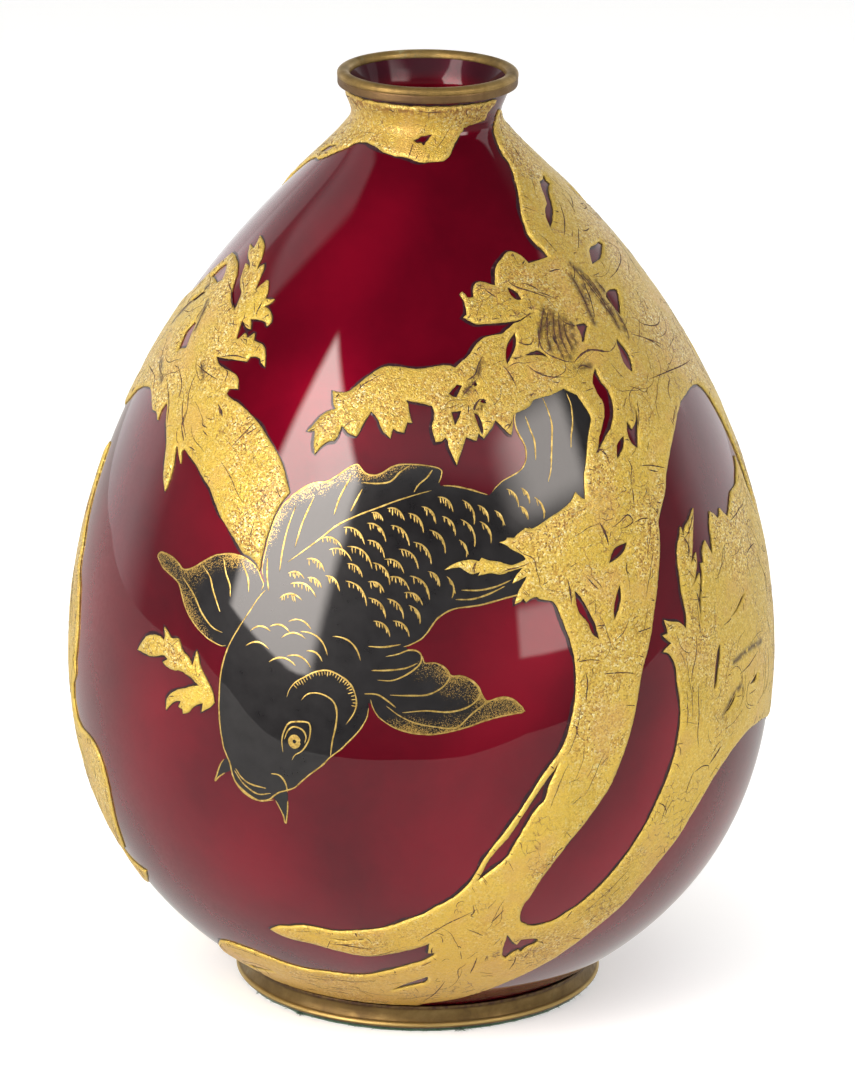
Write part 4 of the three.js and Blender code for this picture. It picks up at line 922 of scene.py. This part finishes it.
# strokes by their width in millimetres
CRACKS = {
    0.95: [
        (36.4, 221.3, 38.2, 222.5, 40, 223.3, 42, 223.7, 44, 223.3, 46, 222.5, 48, 222),
        (29.2, 236, 26, 234.6, 22.8, 233.7), (33.4, 229.5, 33.2, 228, 33.6, 226.6),
        (-47, 206, -45.8, 204.8, -44.5, 203), (-55.5, 201, -55.3, 198.5, -54.4, 195.5, -52.6, 193.3),
        (51.6, 150, 51.9, 146, 52, 141.5), (53.3, 94.3, 55, 96.5, 56.6, 98.5),
        (32.6, 177.5, 33.3, 175, 33.6, 172.5, 33.7, 170.3),
        (-16.5, 44.2, -14, 43.8, -11.5, 44.8, -10, 45.3),
        (13.5, 214, 12, 214.5, 11, 213, 10.4, 211, 11.6, 209), (51.2, 167, 51.8, 164, 51.2, 161),
        (37.2, 196.8, 36, 197.2, 35.2, 196.4),
    ],
    0.58: [
        (17.5, 243, 19, 241.7, 20.5, 240.6),
        (28.8, 228, 29.5, 226, 31, 224.2, 33, 222.8, 35, 221.8, 36.5, 221.5),
        (33.4, 236.5, 32, 234.5, 31, 232.5, 29.8, 230.5, 28.8, 228),
        (34.5, 236, 33.2, 233.6, 32.2, 231, 31.5, 228, 31.3, 225.5),
        (35.6, 234.8, 34.6, 232, 33.8, 229, 33.6, 226, 34, 223.5),
        (36.8, 234, 35.9, 231, 35.4, 228, 35.6, 225, 35.9, 222.8),
        (38, 233, 37.2, 230, 37, 227, 37.4, 224.5), (37, 233.2, 38.6, 231.6, 40.2, 230.9, 42, 230.8),
        (48, 222, 50, 222.7, 51.5, 223.8), (24.2, 222.6, 25.4, 221, 26.8, 220, 28.2, 219.8),
        (18.3, 223, 19.2, 221.5, 20, 219.5, 20.6, 217), (23.2, 229, 25, 227.9, 26.6, 227.9, 27.8, 229.3),
        (28.8, 243.8, 31, 243.2, 33, 242, 34.2, 240.9), (33, 241, 36, 239.7, 38, 238.4),
        (40, 245.3, 43, 245.5, 44.5, 245.2),
        (50, 245, 51.5, 242, 52.5, 239, 53.5, 235.5, 54.5, 231.5, 55, 228),
        (52, 243.5, 53, 240, 54, 236.5, 55, 233, 55.8, 229.5),
        (47.5, 243, 47.8, 240, 47.6, 236, 47.4, 232, 47.2, 230), (36.5, 219.5, 38.5, 220.2, 40.5, 219),
        (36.5, 215.7, 38, 215.5), (14, 226, 12.5, 223.5, 11.5, 221, 9.5, 219.5),
        (12, 220, 10, 217.5, 8.4, 215.5), (9.5, 213, 9.3, 210.5),
        (35.2, 196, 36.4, 197, 37.4, 195.2, 37.6, 192.5),
        (42.2, 193.3, 42.6, 190.5, 41.8, 188, 41.4, 185.5), (41.4, 185, 41.3, 183, 40.9, 180.5),
        (44.8, 190.2, 47, 189.8, 49.5, 188.6, 51.3, 187.5), (46.5, 188.7, 49, 187.2),
        (46.2, 179.3, 47.6, 178.5),
        (35, 175.2, 36.5, 176, 39, 177.8, 39.8, 175.6, 37.8, 174.4, 36.8, 174.6),
        (40, 175.2, 42, 175.8, 43.5, 175.3), (28.5, 162.5, 29.6, 160, 30.4, 158.5),
        (25, 162.5, 25.2, 159, 25.2, 155), (26.9, 134.5, 27.1, 131, 26.8, 127.5, 26.7, 125),
        (25.5, 137.8, 27.5, 138, 29.5, 137.3), (30, 133, 32, 132.7, 34.5, 132, 36, 131),
        (24.2, 118.8, 25, 118, 25.1, 116, 25.5, 114.8), (37, 143.5, 39, 143.8, 40.8, 144.2),
        (50, 137, 49.8, 133.5, 49.2, 130, 48.4, 127, 48, 123.5),
        (49.8, 122, 49.6, 117, 49.7, 112, 49.5, 106, 50, 101.5), (46.8, 118, 47, 114, 46.8, 110),
        (49.2, 94, 48.5, 91, 47.8, 87.5), (49.5, 93.8, 51.5, 94.6, 53.2, 93.8, 53.2, 92.4),
        (57, 108, 58.3, 111, 59.5, 113, 61, 114.5), (57.8, 136.8, 60, 137.5, 61.5, 138.5),
        (41.8, 87, 43, 85.5, 43.8, 83), (31, 41.5, 33.5, 40), (-49.8, 200.8, -49, 199.3, -47.5, 199),
        (-48.5, 198, -46.5, 196.8), (-50.5, 192.5, -48.5, 192), (-37.2, 200, -36, 201.5, -35.2, 202.5),
        (-69.8, 230, -69.3, 227, -68.6, 224, -67.5, 221), (-68, 210.5, -66, 210.5),
        (-58.5, 215, -57, 213.5, -56.4, 212), (9.4, 60, 9.7, 57.5, 9.2, 56, 9.9, 55.3),
        (0, 45.8, 1.5, 48, 3.5, 50.8, 5.5, 53.5, 8, 56, 9.3, 57.5), (8.9, 50.5, 10.5, 49, 12, 47.4),
        (13, 52.5, 14, 55, 15, 57.5), (11.8, 38, 11.6, 34, 11.3, 30),
        (6.2, 26.8, 5.6, 24, 5, 21.5, 4.2, 19, 3, 16.5, 1.8, 14.2), (-15.5, 42.5, -12, 42, -8.5, 41.5),
        (-16, 48, -15.8, 46.4), (-11.5, 48.5, -11.2, 46.3), (20, 36.5, 20.2, 33.5, 19.9, 30.5),
        (22.5, 38, 22, 35.5), (67, 165, 70, 165.5, 73, 166), (70, 152.5, 73, 153.5, 76, 153.3),
        (62, 119, 66, 120, 70, 122),
        # curls drawn on the right shoulder
        (74.5, 262.2, 74, 259.2, 71.2, 256.5), (79.5, 261.8, 79.2, 259.8, 72.2, 257.5),
        (65.5, 253.2, 61.5, 251, 57.5, 248.8), (66.8, 252.5, 69, 251.8, 72.8, 251.8),
        (82.8, 257, 87.5, 256.2, 87.8, 255.2, 83.2, 255.5, 80.8, 256.5),
        (76.5, 247.2, 82, 243.8, 78.8, 241.5, 70.2, 240, 63, 239.2),
        (52, 243.5, 50.8, 239.8, 50, 236.2, 48.8, 232.5, 47, 230.5),
        (54, 242.2, 54.8, 238, 54.5, 234.2, 53, 230.8),
        (56.5, 239.8, 58.2, 235.5, 57.5, 230.5, 57.5, 226, 56, 223),
        (63.5, 227.5, 65.2, 225.5, 68.8, 223.8, 73.2, 223, 77, 224), (62, 222.5, 65.8, 219.8, 68, 217),
        (56.8, 211.8, 66.2, 211.2, 80.8, 209.2), (50.8, 245.5, 49.5, 243.5, 48, 242.2),
        (24.8, 244.8, 27.5, 242.8, 32.2, 240.8, 37, 238.5),
        (24.2, 222.5, 26.5, 220, 29.5, 218.5, 32.2, 218.2), (49.8, 207, 49.2, 203.5, 47.8, 200.5),
        (29.8, 232, 29, 228.2, 29.5, 225), (66.2, 260.5, 61, 256.5, 55.2, 253),
        (58, 224.5, 63.8, 221.5, 68.8, 218.2), (64.5, 209.5, 61.8, 207.2, 61, 204),
        # left foliage: the fans of leaves and the trunk's top
        (-75.2, 234, -79.8, 227.5, -86, 220), (-77, 230, -83, 223, -86, 216.5),
        (-70.5, 228.8, -70.8, 222, -69.5, 215.8), (-58.8, 205.2, -56.2, 199.8, -52.5, 194.5),
        (-68, 206.2, -63, 201.5, -60, 196), (-67, 236.2, -58.8, 232, -59, 228.8),
        (-66.5, 211.2, -61.5, 207.5, -59.5, 202.8), (-83.8, 204.5, -75.5, 204.5, -71.8, 201.5),
        (-59.5, 213.8, -52.8, 212.5, -50, 212.2), (-46.8, 206, -45.2, 203.2), (-39.5, 196.5, -36, 203.8),
        (-48, 234.8, -47.8, 231.5, -45.5, 229), (-54.2, 217.5, -48.8, 219.5, -44, 219.8),
        (-49.8, 215.5, -48, 214.5, -47.8, 212), (-81, 213.8, -75.8, 207.8, -69.8, 205.8),
        (-58, 212, -57.5, 206.8, -55.5, 202, -54.8, 198),
    ],
}
for width, strokes in CRACKS.items():
    for stroke in strokes:
        crack(drawn(stroke), width)
STRIDE = 0.8            # of a wandering crack, in millimetres


def walk(spot, length, wander):
    """A path from a spot that runs alongside the nearest edges of the gold."""
    path = [spot]
    heading = None
    for _ in range(int(length / STRIDE)):
        here = path[-1]
        index = gold_tree.find(on_wall(here))[1]
        edge = unit(gold_rim[index] - here)
        beside = np.array([-edge[1], edge[0]])
        if heading is None:
            heading = beside * rng.choice([-1, 1])
        beside *= 1 if beside @ heading > 0 else -1
        heading = unit(heading + 0.35 * beside + rng.normal(0, wander, 2))
        path.append(here + heading * STRIDE / radius_at(here[1]))
    return np.array(path)


# long cracks that follow the trunks, and short wandering ones: how many, lengths, wander, widths
WALKS = ((400, (4, 18), 0.10, (0.18, 0.40)), (560, (2, 5.5), 0.5, (0.18, 0.38)))
for count, lengths, wander, widths in WALKS:
    for spot in gold_spots[rng.integers(0, len(gold_spots), count)]:
        crack(walk(spot, rng.uniform(*lengths), wander), rng.uniform(*widths))
# splits that run in from the edges
SPLITS = 600
for index in rng.integers(1, len(gold_rim) - 1, SPLITS):
    before, here, after = gold_rim[index - 1:index + 2]
    ahead = unit(after - before)
    across = np.array([-ahead[1], ahead[0]])
    bend = rng.normal(0, 0.35, 2)
    reach = rng.uniform(1.2, 4.0) / radius_at(here[1])
    path = np.array([here, here + across * reach * 0.5, here + (across + bend) * reach])
    crack(path, rng.uniform(0.2, 0.42))
joined("gold_cracks", crack_parts, CRACK)

# ---- the koi: each part's CAD node, and its gold dust: how much, and its reach from the outline
KOI = {"body": ("koi_body_enamel", 0.0, 1.0), "dorsal": ("koi_dorsal_fin_enamel", 0.6, 2.4),
       "tail": ("koi_tail_enamel", 0.0, 1.0), "far_fin": ("koi_far_fin_enamel", 0.75, 2.2),
       "near_fin": ("koi_near_fin_enamel", 0.8, 2.6), "far_barbel": ("koi_far_barbel_enamel", 0.0, 1.0),
       "near_barbel": ("koi_near_barbel_enamel", 0.0, 1.0)}
KOI_SPACING = 1.5       # between the points of its top
FIN_DROP = 0.03         # how much lower the fins are than the body
SEAM = 1.1              # a fin's edge that is nearer than this to the body is tucked under it
TUCK = 1.3
TYPICAL_RADIUS = 112    # of the wall at the koi
koi_loops = {part: [soften(loop, OUTLINE_SPACING, 0.06) for loop in outlines(facts[0])]
             for part, facts in KOI.items()}
koi_trees = {part: tree_of(along(loops)) for part, loops in koi_loops.items()}


def tucked(loop, other):
    """A fin's loop with the edge along another part pushed under that part."""
    rim = along(koi_loops[other])
    loop = loop.copy()
    for i, place in enumerate(on_wall(loop)):
        _, index, gap = koi_trees[other].find(place)
        if gap < SEAM:
            loop[i] = rim[index] + unit(rim[index] - loop[i]) * TUCK / radius_at(loop[i, 1])
    return loop


def koi_slab(name, loops, spacing, lift, replaces):
    return slab(name, loops, spacing, lambda places, far: np.full(len(places), lift),
                BLACK, replaces, sharp=40.0)


for part, (node, amount, reach) in KOI.items():
    loops = koi_loops[part]
    lift = KOI_LIFT
    if part != "body":
        loops = [tucked(loop, "body") for loop in loops]
        lift -= FIN_DROP
    piece, _, places, _ = koi_slab("koi_" + part, loops, KOI_SPACING, lift, [node])
    from_outline = distances(koi_trees[part], places)
    from_body = distances(koi_trees["body"], places)
    dust = amount * (0.75 + 0.8 * noises(places, 0.12)) * np.exp(-from_outline / reach)
    attribute(piece, "dust", np.tile(dust * np.clip((from_body - 4) / 9, 0, 1), 2))

# the fins' roots meet the back here; a small patch closes the gap between them
FIN_ROOT = (-26.5, 159.0)
FIN_ROOT_RADIUS = 1.7
turns = np.linspace(0, FULL_TURN, 16, endpoint=False)
ring = np.stack([np.cos(turns), np.sin(turns)], axis=1)
patch = drawn(FIN_ROOT) + FIN_ROOT_RADIUS / TYPICAL_RADIUS * ring
piece, spots, _, _ = koi_slab("koi_fin_root", [patch], 0.8, KOI_LIFT - 0.05, [])
attribute(piece, "dust", np.zeros(2 * len(spots)))

# ---- gilt drawing
SHARED_EDGE = 0.9       # outlines nearer to each other than this are one edge
gilt_parts = []


def gilt(path, width=0.5, blunt=0.35):
    """One brush stroke: widest after its start, thin at its end."""
    path = smooth_path(path)
    share = np.linspace(0, 1, len(path))
    taper = np.clip(np.sin(np.pi * share) ** blunt, 0.12, 1)
    half = width / 2 * taper * (1 + 0.35 * noises(on_wall(path), 0.5))
    gilt_parts.append(strip(path, half, half, KOI_LIFT + 0.01, GILT_LIFT))


def contour(part, away_from, width=0.45):
    """Gilt along a koi part's outline, except where it meets another part."""
    for loop in koi_loops[part]:
        places = on_wall(loop)
        shared = np.zeros(len(loop), bool)
        for other in away_from:
            shared |= distances(koi_trees[other], places) < SHARED_EDGE
        if not shared.any():
            gilt(np.concatenate([loop, loop[:1]]), width, blunt=0.1)
            continue
        start = int(np.argmax(shared))
        run = []
        for i in range(len(loop) + 1):
            k = (start + i) % len(loop)
            if not shared[k]:
                run.append(k)
                continue
            if len(run) > 4:
                gilt(loop[run][::3], width, blunt=0.18)
            run = []


for part in KOI:
    contour(part, ("tail", "near_fin", "dorsal") if part == "body" else ("body",))

STROKES = [
    # gill cover, outer and inner
    (-21.4, 126.9, -21, 129.4, -20, 131.9, -18.4, 134, -16.8, 135.7, -14.8, 136.5, -12.8, 135.3, -11.2,
     133.2, -10.4, 130.7, -10, 127.3, -10.4, 124, -11.6, 120.4),
    (-19, 126.5, -18, 128.6, -16.4, 129.3, -14.8, 128.6, -13.6, 126.9, -13.1, 124, -13.2, 119.8, -13.7,
     114.8, -14, 109.8),
    # eye
    (-21.8, 109.4, -22, 113.2, -21.6, 116.5, -20.8, 119, -19.2, 119.8, -17.6, 119.7, -17.3, 117.3, -17.6,
     114, -18.6, 110.7, -19.8, 109, -20.3, 107.2),
    (-21.6, 113.6, -21, 116.5, -20, 118, -18.6, 117.3, -18, 115.3, -18.2, 113.2),
    # mouth
    (-30.2, 101.5, -29.2, 99, -27.6, 97.3, -24.8, 96.7),
    (-30.4, 100.7, -28.8, 96.9, -26.4, 94.4, -24, 95.3), (-31, 99.4, -29.6, 95.7, -26.4, 92.3, -23.6, 93.2),
    (-23.9, 101.9, -22.4, 101.7, -21.4, 99.4, -21.1, 96.5),
    # near fin
    (-5.3, 126.9, -3.2, 124, -0.8, 121.9, 2.4, 120.7, 5.6, 120.4, 8, 124.4, 10.4, 127.8, 12.8, 129.2, 14.8,
     128.2, 16.6, 124.4),
    (-2.8, 125, 0.8, 125.7, 4.4, 125.3, 7.2, 126.5, 9, 129, 9.4, 131.5, 8.4, 134.4, 6.4, 136.3, 4.6, 136.1),
    (-4.8, 130.3, -2, 130.3, 1.2, 130.7, 3.6, 133.2, 4.6, 136.5, 3.6, 139.2, 2, 140.4),
    (-6.8, 134.7, -4.4, 134.8, -2, 136.9, -0.2, 139.8, 0.1, 142.3, -0.6, 143.8, -2, 144, -3.6, 142.8, -5.6,
     141.9), (-7.8, 137.5, -5.2, 137.8, -2.4, 138.6, -0.4, 140.3),
    (-8.8, 130.3, -6.8, 130.3, -5.2, 128.6, -3.8, 126.5),
    # far fin rays
    (-40, 161.3, -38, 158.6, -36.8, 154.8, -34.8, 149),
    (-35.8, 164.8, -34.8, 160.7, -33.6, 157.3, -33.2, 154), (-32, 164.8, -30.4, 160.7, -29.8, 156.5),
    (-44, 156.5, -40.8, 152.3, -38.4, 147.3, -36, 144, -33.8, 143),
    # dorsal rays, folds and base line
    (-16, 181.9, -15.2, 187.3, -13.4, 193.6), (-13, 183.2, -11.2, 189.8),
    (-24.6, 164, -24.6, 170.7, -24.2, 177.3, -23.4, 183.2), (-22.4, 171.5, -21.6, 179, -20.2, 186.1),
    (-27.2, 167.3, -26.8, 162.3, -26.1, 157.8),
    (-11.2, 191.5, -8.4, 191.5, -6, 192.3, -4.4, 194.8, -2.4, 196.9),
    (-1.6, 189.4, -0.8, 191.5, 0.8, 193.6, 1.8, 195.7),
    (-23.4, 166.9, -20.8, 170.7, -18, 174.8, -15.2, 179, -11.6, 182.3, -8, 184.8, -4.8, 186.9, -1.2, 188.8,
     1.6, 190),
    # tail rays
    (21.6, 209, 22.2, 205, 22.6, 202, 22.2, 197),
    (26.4, 213.5, 27, 209.5, 27.1, 206, 26.4, 202, 25.6, 197.5, 25, 194, 24, 190.6),
    (32.4, 213.8, 32.7, 210.5, 32, 206, 30.8, 202, 30.2, 199),
    # belly fin
    (5.6, 159, 8.4, 159, 11.2, 160.3, 14, 162.3), (6.6, 161.7, 9.6, 161.5, 12.4, 162.3, 15.2, 164),
    (-8.4, 144.7, -6, 144.7, -3.2, 145.7),
]
GILL_COVER = 0          # the gill cover's outer line in STROKES
for stroke in STROKES:
    gilt(drawn(stroke))

# scales: each an arc from its upper left to its lower right end, with short ticks under it
SCALES = [
    (2.7, 188.2, 5.5, 184), (7.2, 187.3, 9.2, 180.3), (10, 185.7, 11.8, 180.7), (13, 184, 14.4, 179.4),
    (15.6, 189.8, 17.6, 184.4), (18.4, 189.8, 19.7, 185), (17.8, 184.7, 19.1, 180.7),
    (20.8, 186.8, 22.1, 180.5), (-0.2, 185.5, 2.4, 180.7), (3.5, 182.8, 5.8, 177.3),
    (-6.4, 184.7, -3.2, 181.5), (-2.6, 183.6, 0.2, 178.2), (1.2, 179, 4, 172.3), (6.8, 181.9, 9.1, 174),
    (10.2, 181.1, 12, 174.8), (-9.2, 183.3, -7, 181.1), (-5.6, 180, -2.2, 174.4), (-1.6, 175.5, 1.6, 169.2),
    (6.4, 176.1, 7.6, 171.1), (-9.8, 180.3, -6.3, 175.3), (-4, 173.4, -0.6, 167.8), (1, 167.2, 3, 162.8),
    (4.2, 165.7, 5, 159.4), (-14, 178.6, -10, 174.2), (-9.6, 175.5, -6.4, 170.7), (-6.4, 170.3, -3, 166.5),
    (-2, 165.8, 1.3, 159), (-18, 174.7, -13.8, 172.5), (-13, 173.3, -8.4, 167.3), (-8.4, 169.2, -5.3, 163),
    (-5.5, 165.3, -2, 161.5), (-2.9, 160.9, 0.2, 157.3), (-16.2, 171.9, -12, 169.2),
    (-12.8, 168.4, -10, 164.8), (-9, 163.6, -6.2, 160.7), (-5.7, 159, -2.9, 153.2),
    (-2.1, 157.3, -0.2, 151.9), (-20, 168.6, -16.6, 165.5), (-16.4, 164.4, -13.7, 160.3),
    (-12.8, 163.4, -9, 156.5), (-8.8, 159, -5.8, 153.2), (-4.6, 152.6, -1.9, 148), (-23, 163.8, -20, 162.8),
    (-19.5, 163.2, -16.8, 160.7), (-22.4, 160.8, -17.6, 157.8), (-7.8, 152.3, -5, 147.8),
    (-24, 156.3, -20, 156.5), (-22, 149.8, -18, 148.3), (-25.2, 147.5, -21.6, 146.5),
    (-28.6, 145.3, -25, 146.1), (-19.8, 147.3, -15, 141.1), (-23, 144.6, -18.8, 145.3),
    (-14.4, 146.9, -9.6, 140.3), (-29.2, 140.5, -25, 140.7), (-18.6, 141.7, -15.8, 139),
    (-21.8, 139.4, -17.6, 136.7), (-24.8, 136.9, -20.2, 136.9),
]
SCALE_POINTS = 9
SCALE_BULGE = 0.42
SCALE_TICKS = 5
DEGREE = np.array([1.9, 1])     # millimetres to a degree, so that arcs bend evenly


def bend_at(share, start, middle, end):
    return (1 - share) ** 2 * start + 2 * share * (1 - share) * middle + share ** 2 * end


for x0, z0, x1, z1 in SCALES:
    start = np.array([x0, z0]) * DEGREE
    end = np.array([x1, z1]) * DEGREE
    across = end - start
    middle = (start + end) / 2 + SCALE_BULGE * np.array([-across[1], across[0]])
    gilt(drawn(bend_at(np.linspace(0, 1, SCALE_POINTS)[:, None], start, middle, end) / DEGREE))
    plain = z0 < 150 and x0 < -12
    for k in range(0 if plain else SCALE_TICKS):
        share = 0.1 + 0.13 * k + rng.uniform(-0.02, 0.02)
        root = bend_at(share, start, middle, end)
        tip = root + np.array([rng.uniform(0.0, 0.45), -1]) * rng.uniform(1.2, 2.3)
        gilt(drawn(np.array([root, tip]) / DEGREE), 0.36)

# ticks inside the gill cover
gill = smooth_path(drawn(STROKES[GILL_COVER]), 0.9)
for k in range(4, len(gill) - 6):
    ahead = unit(gill[k + 1] - gill[k - 1])
    inward = np.array([ahead[1], -ahead[0]])
    gilt(np.array([gill[k], gill[k] + inward * rng.uniform(1.2, 2.2) / TYPICAL_RADIUS]), 0.3)

# the eye's pupil: two gilt rings, one inside the other: degrees across, millimetres up, line width
PUPIL = (-19.9, 113.3)
turns = np.linspace(0, FULL_TURN, 15)
for across, up, width in ((0.82, 1.75, 0.9), (0.5, 1.05, 0.8)):
    ring = PUPIL + np.stack([across * np.cos(turns), up * np.sin(turns)], axis=1)
    gilt(drawn(ring), width, blunt=0.02)
joined("koi_gilding", gilt_parts, GILT, ["koi_eye_gilding"])

# ---- camera
RIGHT = Vector((0.99993, 0.00346, 0.01113))
UP = Vector((-0.01165, 0.29666, 0.95491))
BACKWARD = RIGHT.cross(UP)
camera_data = bpy.data.cameras.new("camera")
camera_data.lens = 211.8
camera_data.sensor_width = 36
camera_data.clip_end = 50
camera = bpy.data.objects.new("camera", camera_data)
turned = Matrix((RIGHT, UP, BACKWARD)).transposed().to_4x4()
camera.matrix_world = Matrix.Translation((0.0016, -1.9318, 0.7454)) @ turned
bpy.context.scene.collection.objects.link(camera)
bpy.context.scene.camera = camera


# ---- stage and light
def plane(name, outline, height, color, mirrored=False, glow=0.0):
    """A flat floor in metres: one that shows only in reflections, or one that never does."""
    mesh = bpy.data.meshes.new(name)
    mesh.from_pydata([(x, y, height) for x, y in outline], [], [range(len(outline))])
    s = Shader(name, Base_Color=(*color, 1), Roughness=0.7, Specular_IOR_Level=0.2,
               Emission_Color=(*color, 1), Emission_Strength=glow)
    mesh.materials.append(s.material)
    piece = bpy.data.objects.new(name, mesh)
    piece.visible_glossy = mirrored
    piece.visible_camera = piece.visible_diffuse = piece.visible_shadow = not mirrored
    bpy.context.scene.collection.objects.link(piece)


plane("floor", [(-6, -6), (6, -6), (6, 6), (-6, 6)], 0.0, (0.86, 0.86, 0.855), glow=0.3)
TABLE_FRONT = [(-1.5, -0.45), (-0.75, -0.44), (-0.5, -0.39), (-0.36, -0.36), (-0.25, -0.37), (-0.16, -0.40),
               (-0.04, -0.435), (0.1, -0.445), (0.3, -0.5), (1.1, -0.34), (1.5, -0.25)]
plane("mirrored_table", TABLE_FRONT + [(1.5, 1.2), (-1.5, 1.2)], -0.0002, (0.8, 0.78, 0.75),
      mirrored=True, glow=0.1)
AIM = Vector((0, 0, 0.15))      # what the panels face


def softbox(name, azimuth, elevation, distance, size, radiance, left=(0, 0), right=(1, 1),
            edges=(0.1, 0.1, 0.1, 0.1), fade=(1, 1), mirrored=True, bottom=0.0, cut=None, cut_left=None,
            color=(1.0, 1.0, 1.0)):
    """
    A light panel that faces the vase, by its bearing from the front in degrees. Across the panel 0 to 1,
    left and right say where the bright area starts and ends at the bottom and at the top.
    edges: soft shares at the left, right, bottom and top. fade: brightness at the bottom and at the top.
    bottom: where the bright area starts. cut, cut_left: second right and left edges; the inner one counts.
    """
    turn, rise = math.radians(azimuth), math.radians(elevation)
    out = Vector((math.sin(turn) * math.cos(rise), -math.cos(turn) * math.cos(rise), math.sin(rise)))
    data = bpy.data.lights.new(name, "AREA")
    data.shape = "RECTANGLE"
    data.size, data.size_y = size
    data.energy = radiance * math.pi * size[0] * size[1]
    data.color = color
    data.use_nodes = True
    tree = data.node_tree
    place = tree.nodes.new("ShaderNodeNewGeometry").outputs["Parametric"]
    across = add_node(tree, "SeparateXYZ", {0: place})
    u, v = across.outputs["X"], across.outputs["Y"]

    def slanted(ends):
        return map_range(tree, v, 0, 1, *ends, kind="LINEAR")

    left_edge, right_edge = slanted(left), slanted(right)
    if cut_left:
        left_edge = combine(tree, "MAXIMUM", left_edge, slanted(cut_left))
    if cut:
        right_edge = combine(tree, "MINIMUM", right_edge, slanted(cut))
    from_left = combine(tree, "SUBTRACT", u, left_edge)
    from_right = combine(tree, "SUBTRACT", right_edge, u)
    shape = map_range(tree, v, 0.0, 1.0, *fade)
    for factor in (map_range(tree, from_left, 0.0, edges[0]), map_range(tree, from_right, 0.0, edges[1]),
                   map_range(tree, v, bottom, bottom + edges[2]),
                   map_range(tree, v, 1.0 - edges[3], 1.0, 1.0, 0.0)):
        shape = combine(tree, "MULTIPLY", shape, factor)
    feed(tree, tree.nodes["Emission"], {"Strength": shape})
    light = bpy.data.objects.new(name, data)
    light.location = AIM + out * distance
    light.rotation_euler = out.to_track_quat("Z", "Y").to_euler()
    light.visible_glossy = mirrored
    bpy.context.scene.collection.objects.link(light)


WARM = (1.0, 0.92, 0.86)
softbox("key", -42, 22, 1.2, (1.3, 1.4), 8.5, left=(0.02, 0.32), right=(0.66, 0.85), cut=(1.64, 0.34),
        cut_left=(0.78, -2.2), edges=(0.07, 0.08, 0.02, 0.05), fade=(0.9, 1.4), bottom=0.08, color=WARM)
softbox("veil", 0, 40, 1.3, (2.1, 0.5), 0.7, edges=(0.1, 0.25, 0.4, 0.4))
softbox("overhead", 0, 70, 1.5, (2.0, 2.0), 1.35, mirrored=False)
softbox("left_fill", -65, 25, 1.6, (1.2, 1.2), 0.9, mirrored=False)
softbox("right_fill", 60, 20, 1.6, (1.2, 1.2), 1.6, mirrored=False)
softbox("right_key", 48, 32, 1.3, (0.88, 0.5), 6.2, edges=(0.45, 0.2, 0.3, 0.3), color=WARM)
softbox("right_window", 40, 5.5, 1.3, (0.48, 0.25), 3.8, edges=(0.12, 0.2, 0.1, 0.25), color=WARM)
softbox("side", 100, 32, 1.3, (0.4, 0.7), 1.0)
softbox("left_high", -112, 46, 1.4, (0.7, 0.72), 0.75, right=(0.78, 1.0), edges=(0.4, 0.14, 0.2, 0.15))
softbox("back_left", -138, 24, 1.4, (0.5, 0.8), 0.5)
softbox("back_right", 140, 24, 1.6, (0.9, 0.9), 0.5)


def room():
    """White for the eye, even for soft light, dark in front and pale behind in reflections."""
    world = bpy.data.worlds.new("world")
    world.use_nodes = True
    bpy.context.scene.world = world
    tree = world.node_tree

    def linear(value, *ends):
        return map_range(tree, value, *ends, kind="LINEAR")

    ray = add_node(tree, "LightPath", {}).outputs
    generated = add_node(tree, "TexCoord", {}).outputs["Generated"]
    way = add_node(tree, "SeparateXYZ", {0: generated}).outputs
    behind, up = linear(way["Y"], 0.22, 0.5), way["Z"]
    backdrop = combine(tree, "MULTIPLY", behind, linear(up, 0.15, 0.30, 0.85, 0.18))
    haze = combine(tree, "MULTIPLY", linear(up, -0.5, 0.0), linear(up, 0.45, 0.22))
    mirrored = combine(tree, "ADD", backdrop, linear(haze, 0.0, 1.0, 0.02, 0.28))
    soft = add_node(tree, "MixRGB", {"Fac": ray["Is Glossy Ray"], "Color1": (0.6, 0.6, 0.6, 1),
                                     "Color2": mirrored}).outputs[0]
    seen = add_node(tree, "MixRGB", {"Fac": ray["Is Camera Ray"], "Color1": soft,
                                     "Color2": (1, 1, 1, 1)}).outputs[0]
    feed(tree, tree.nodes["Background"], {"Color": seen})


room()
bpy.context.scene.view_settings.view_transform = "Standard"
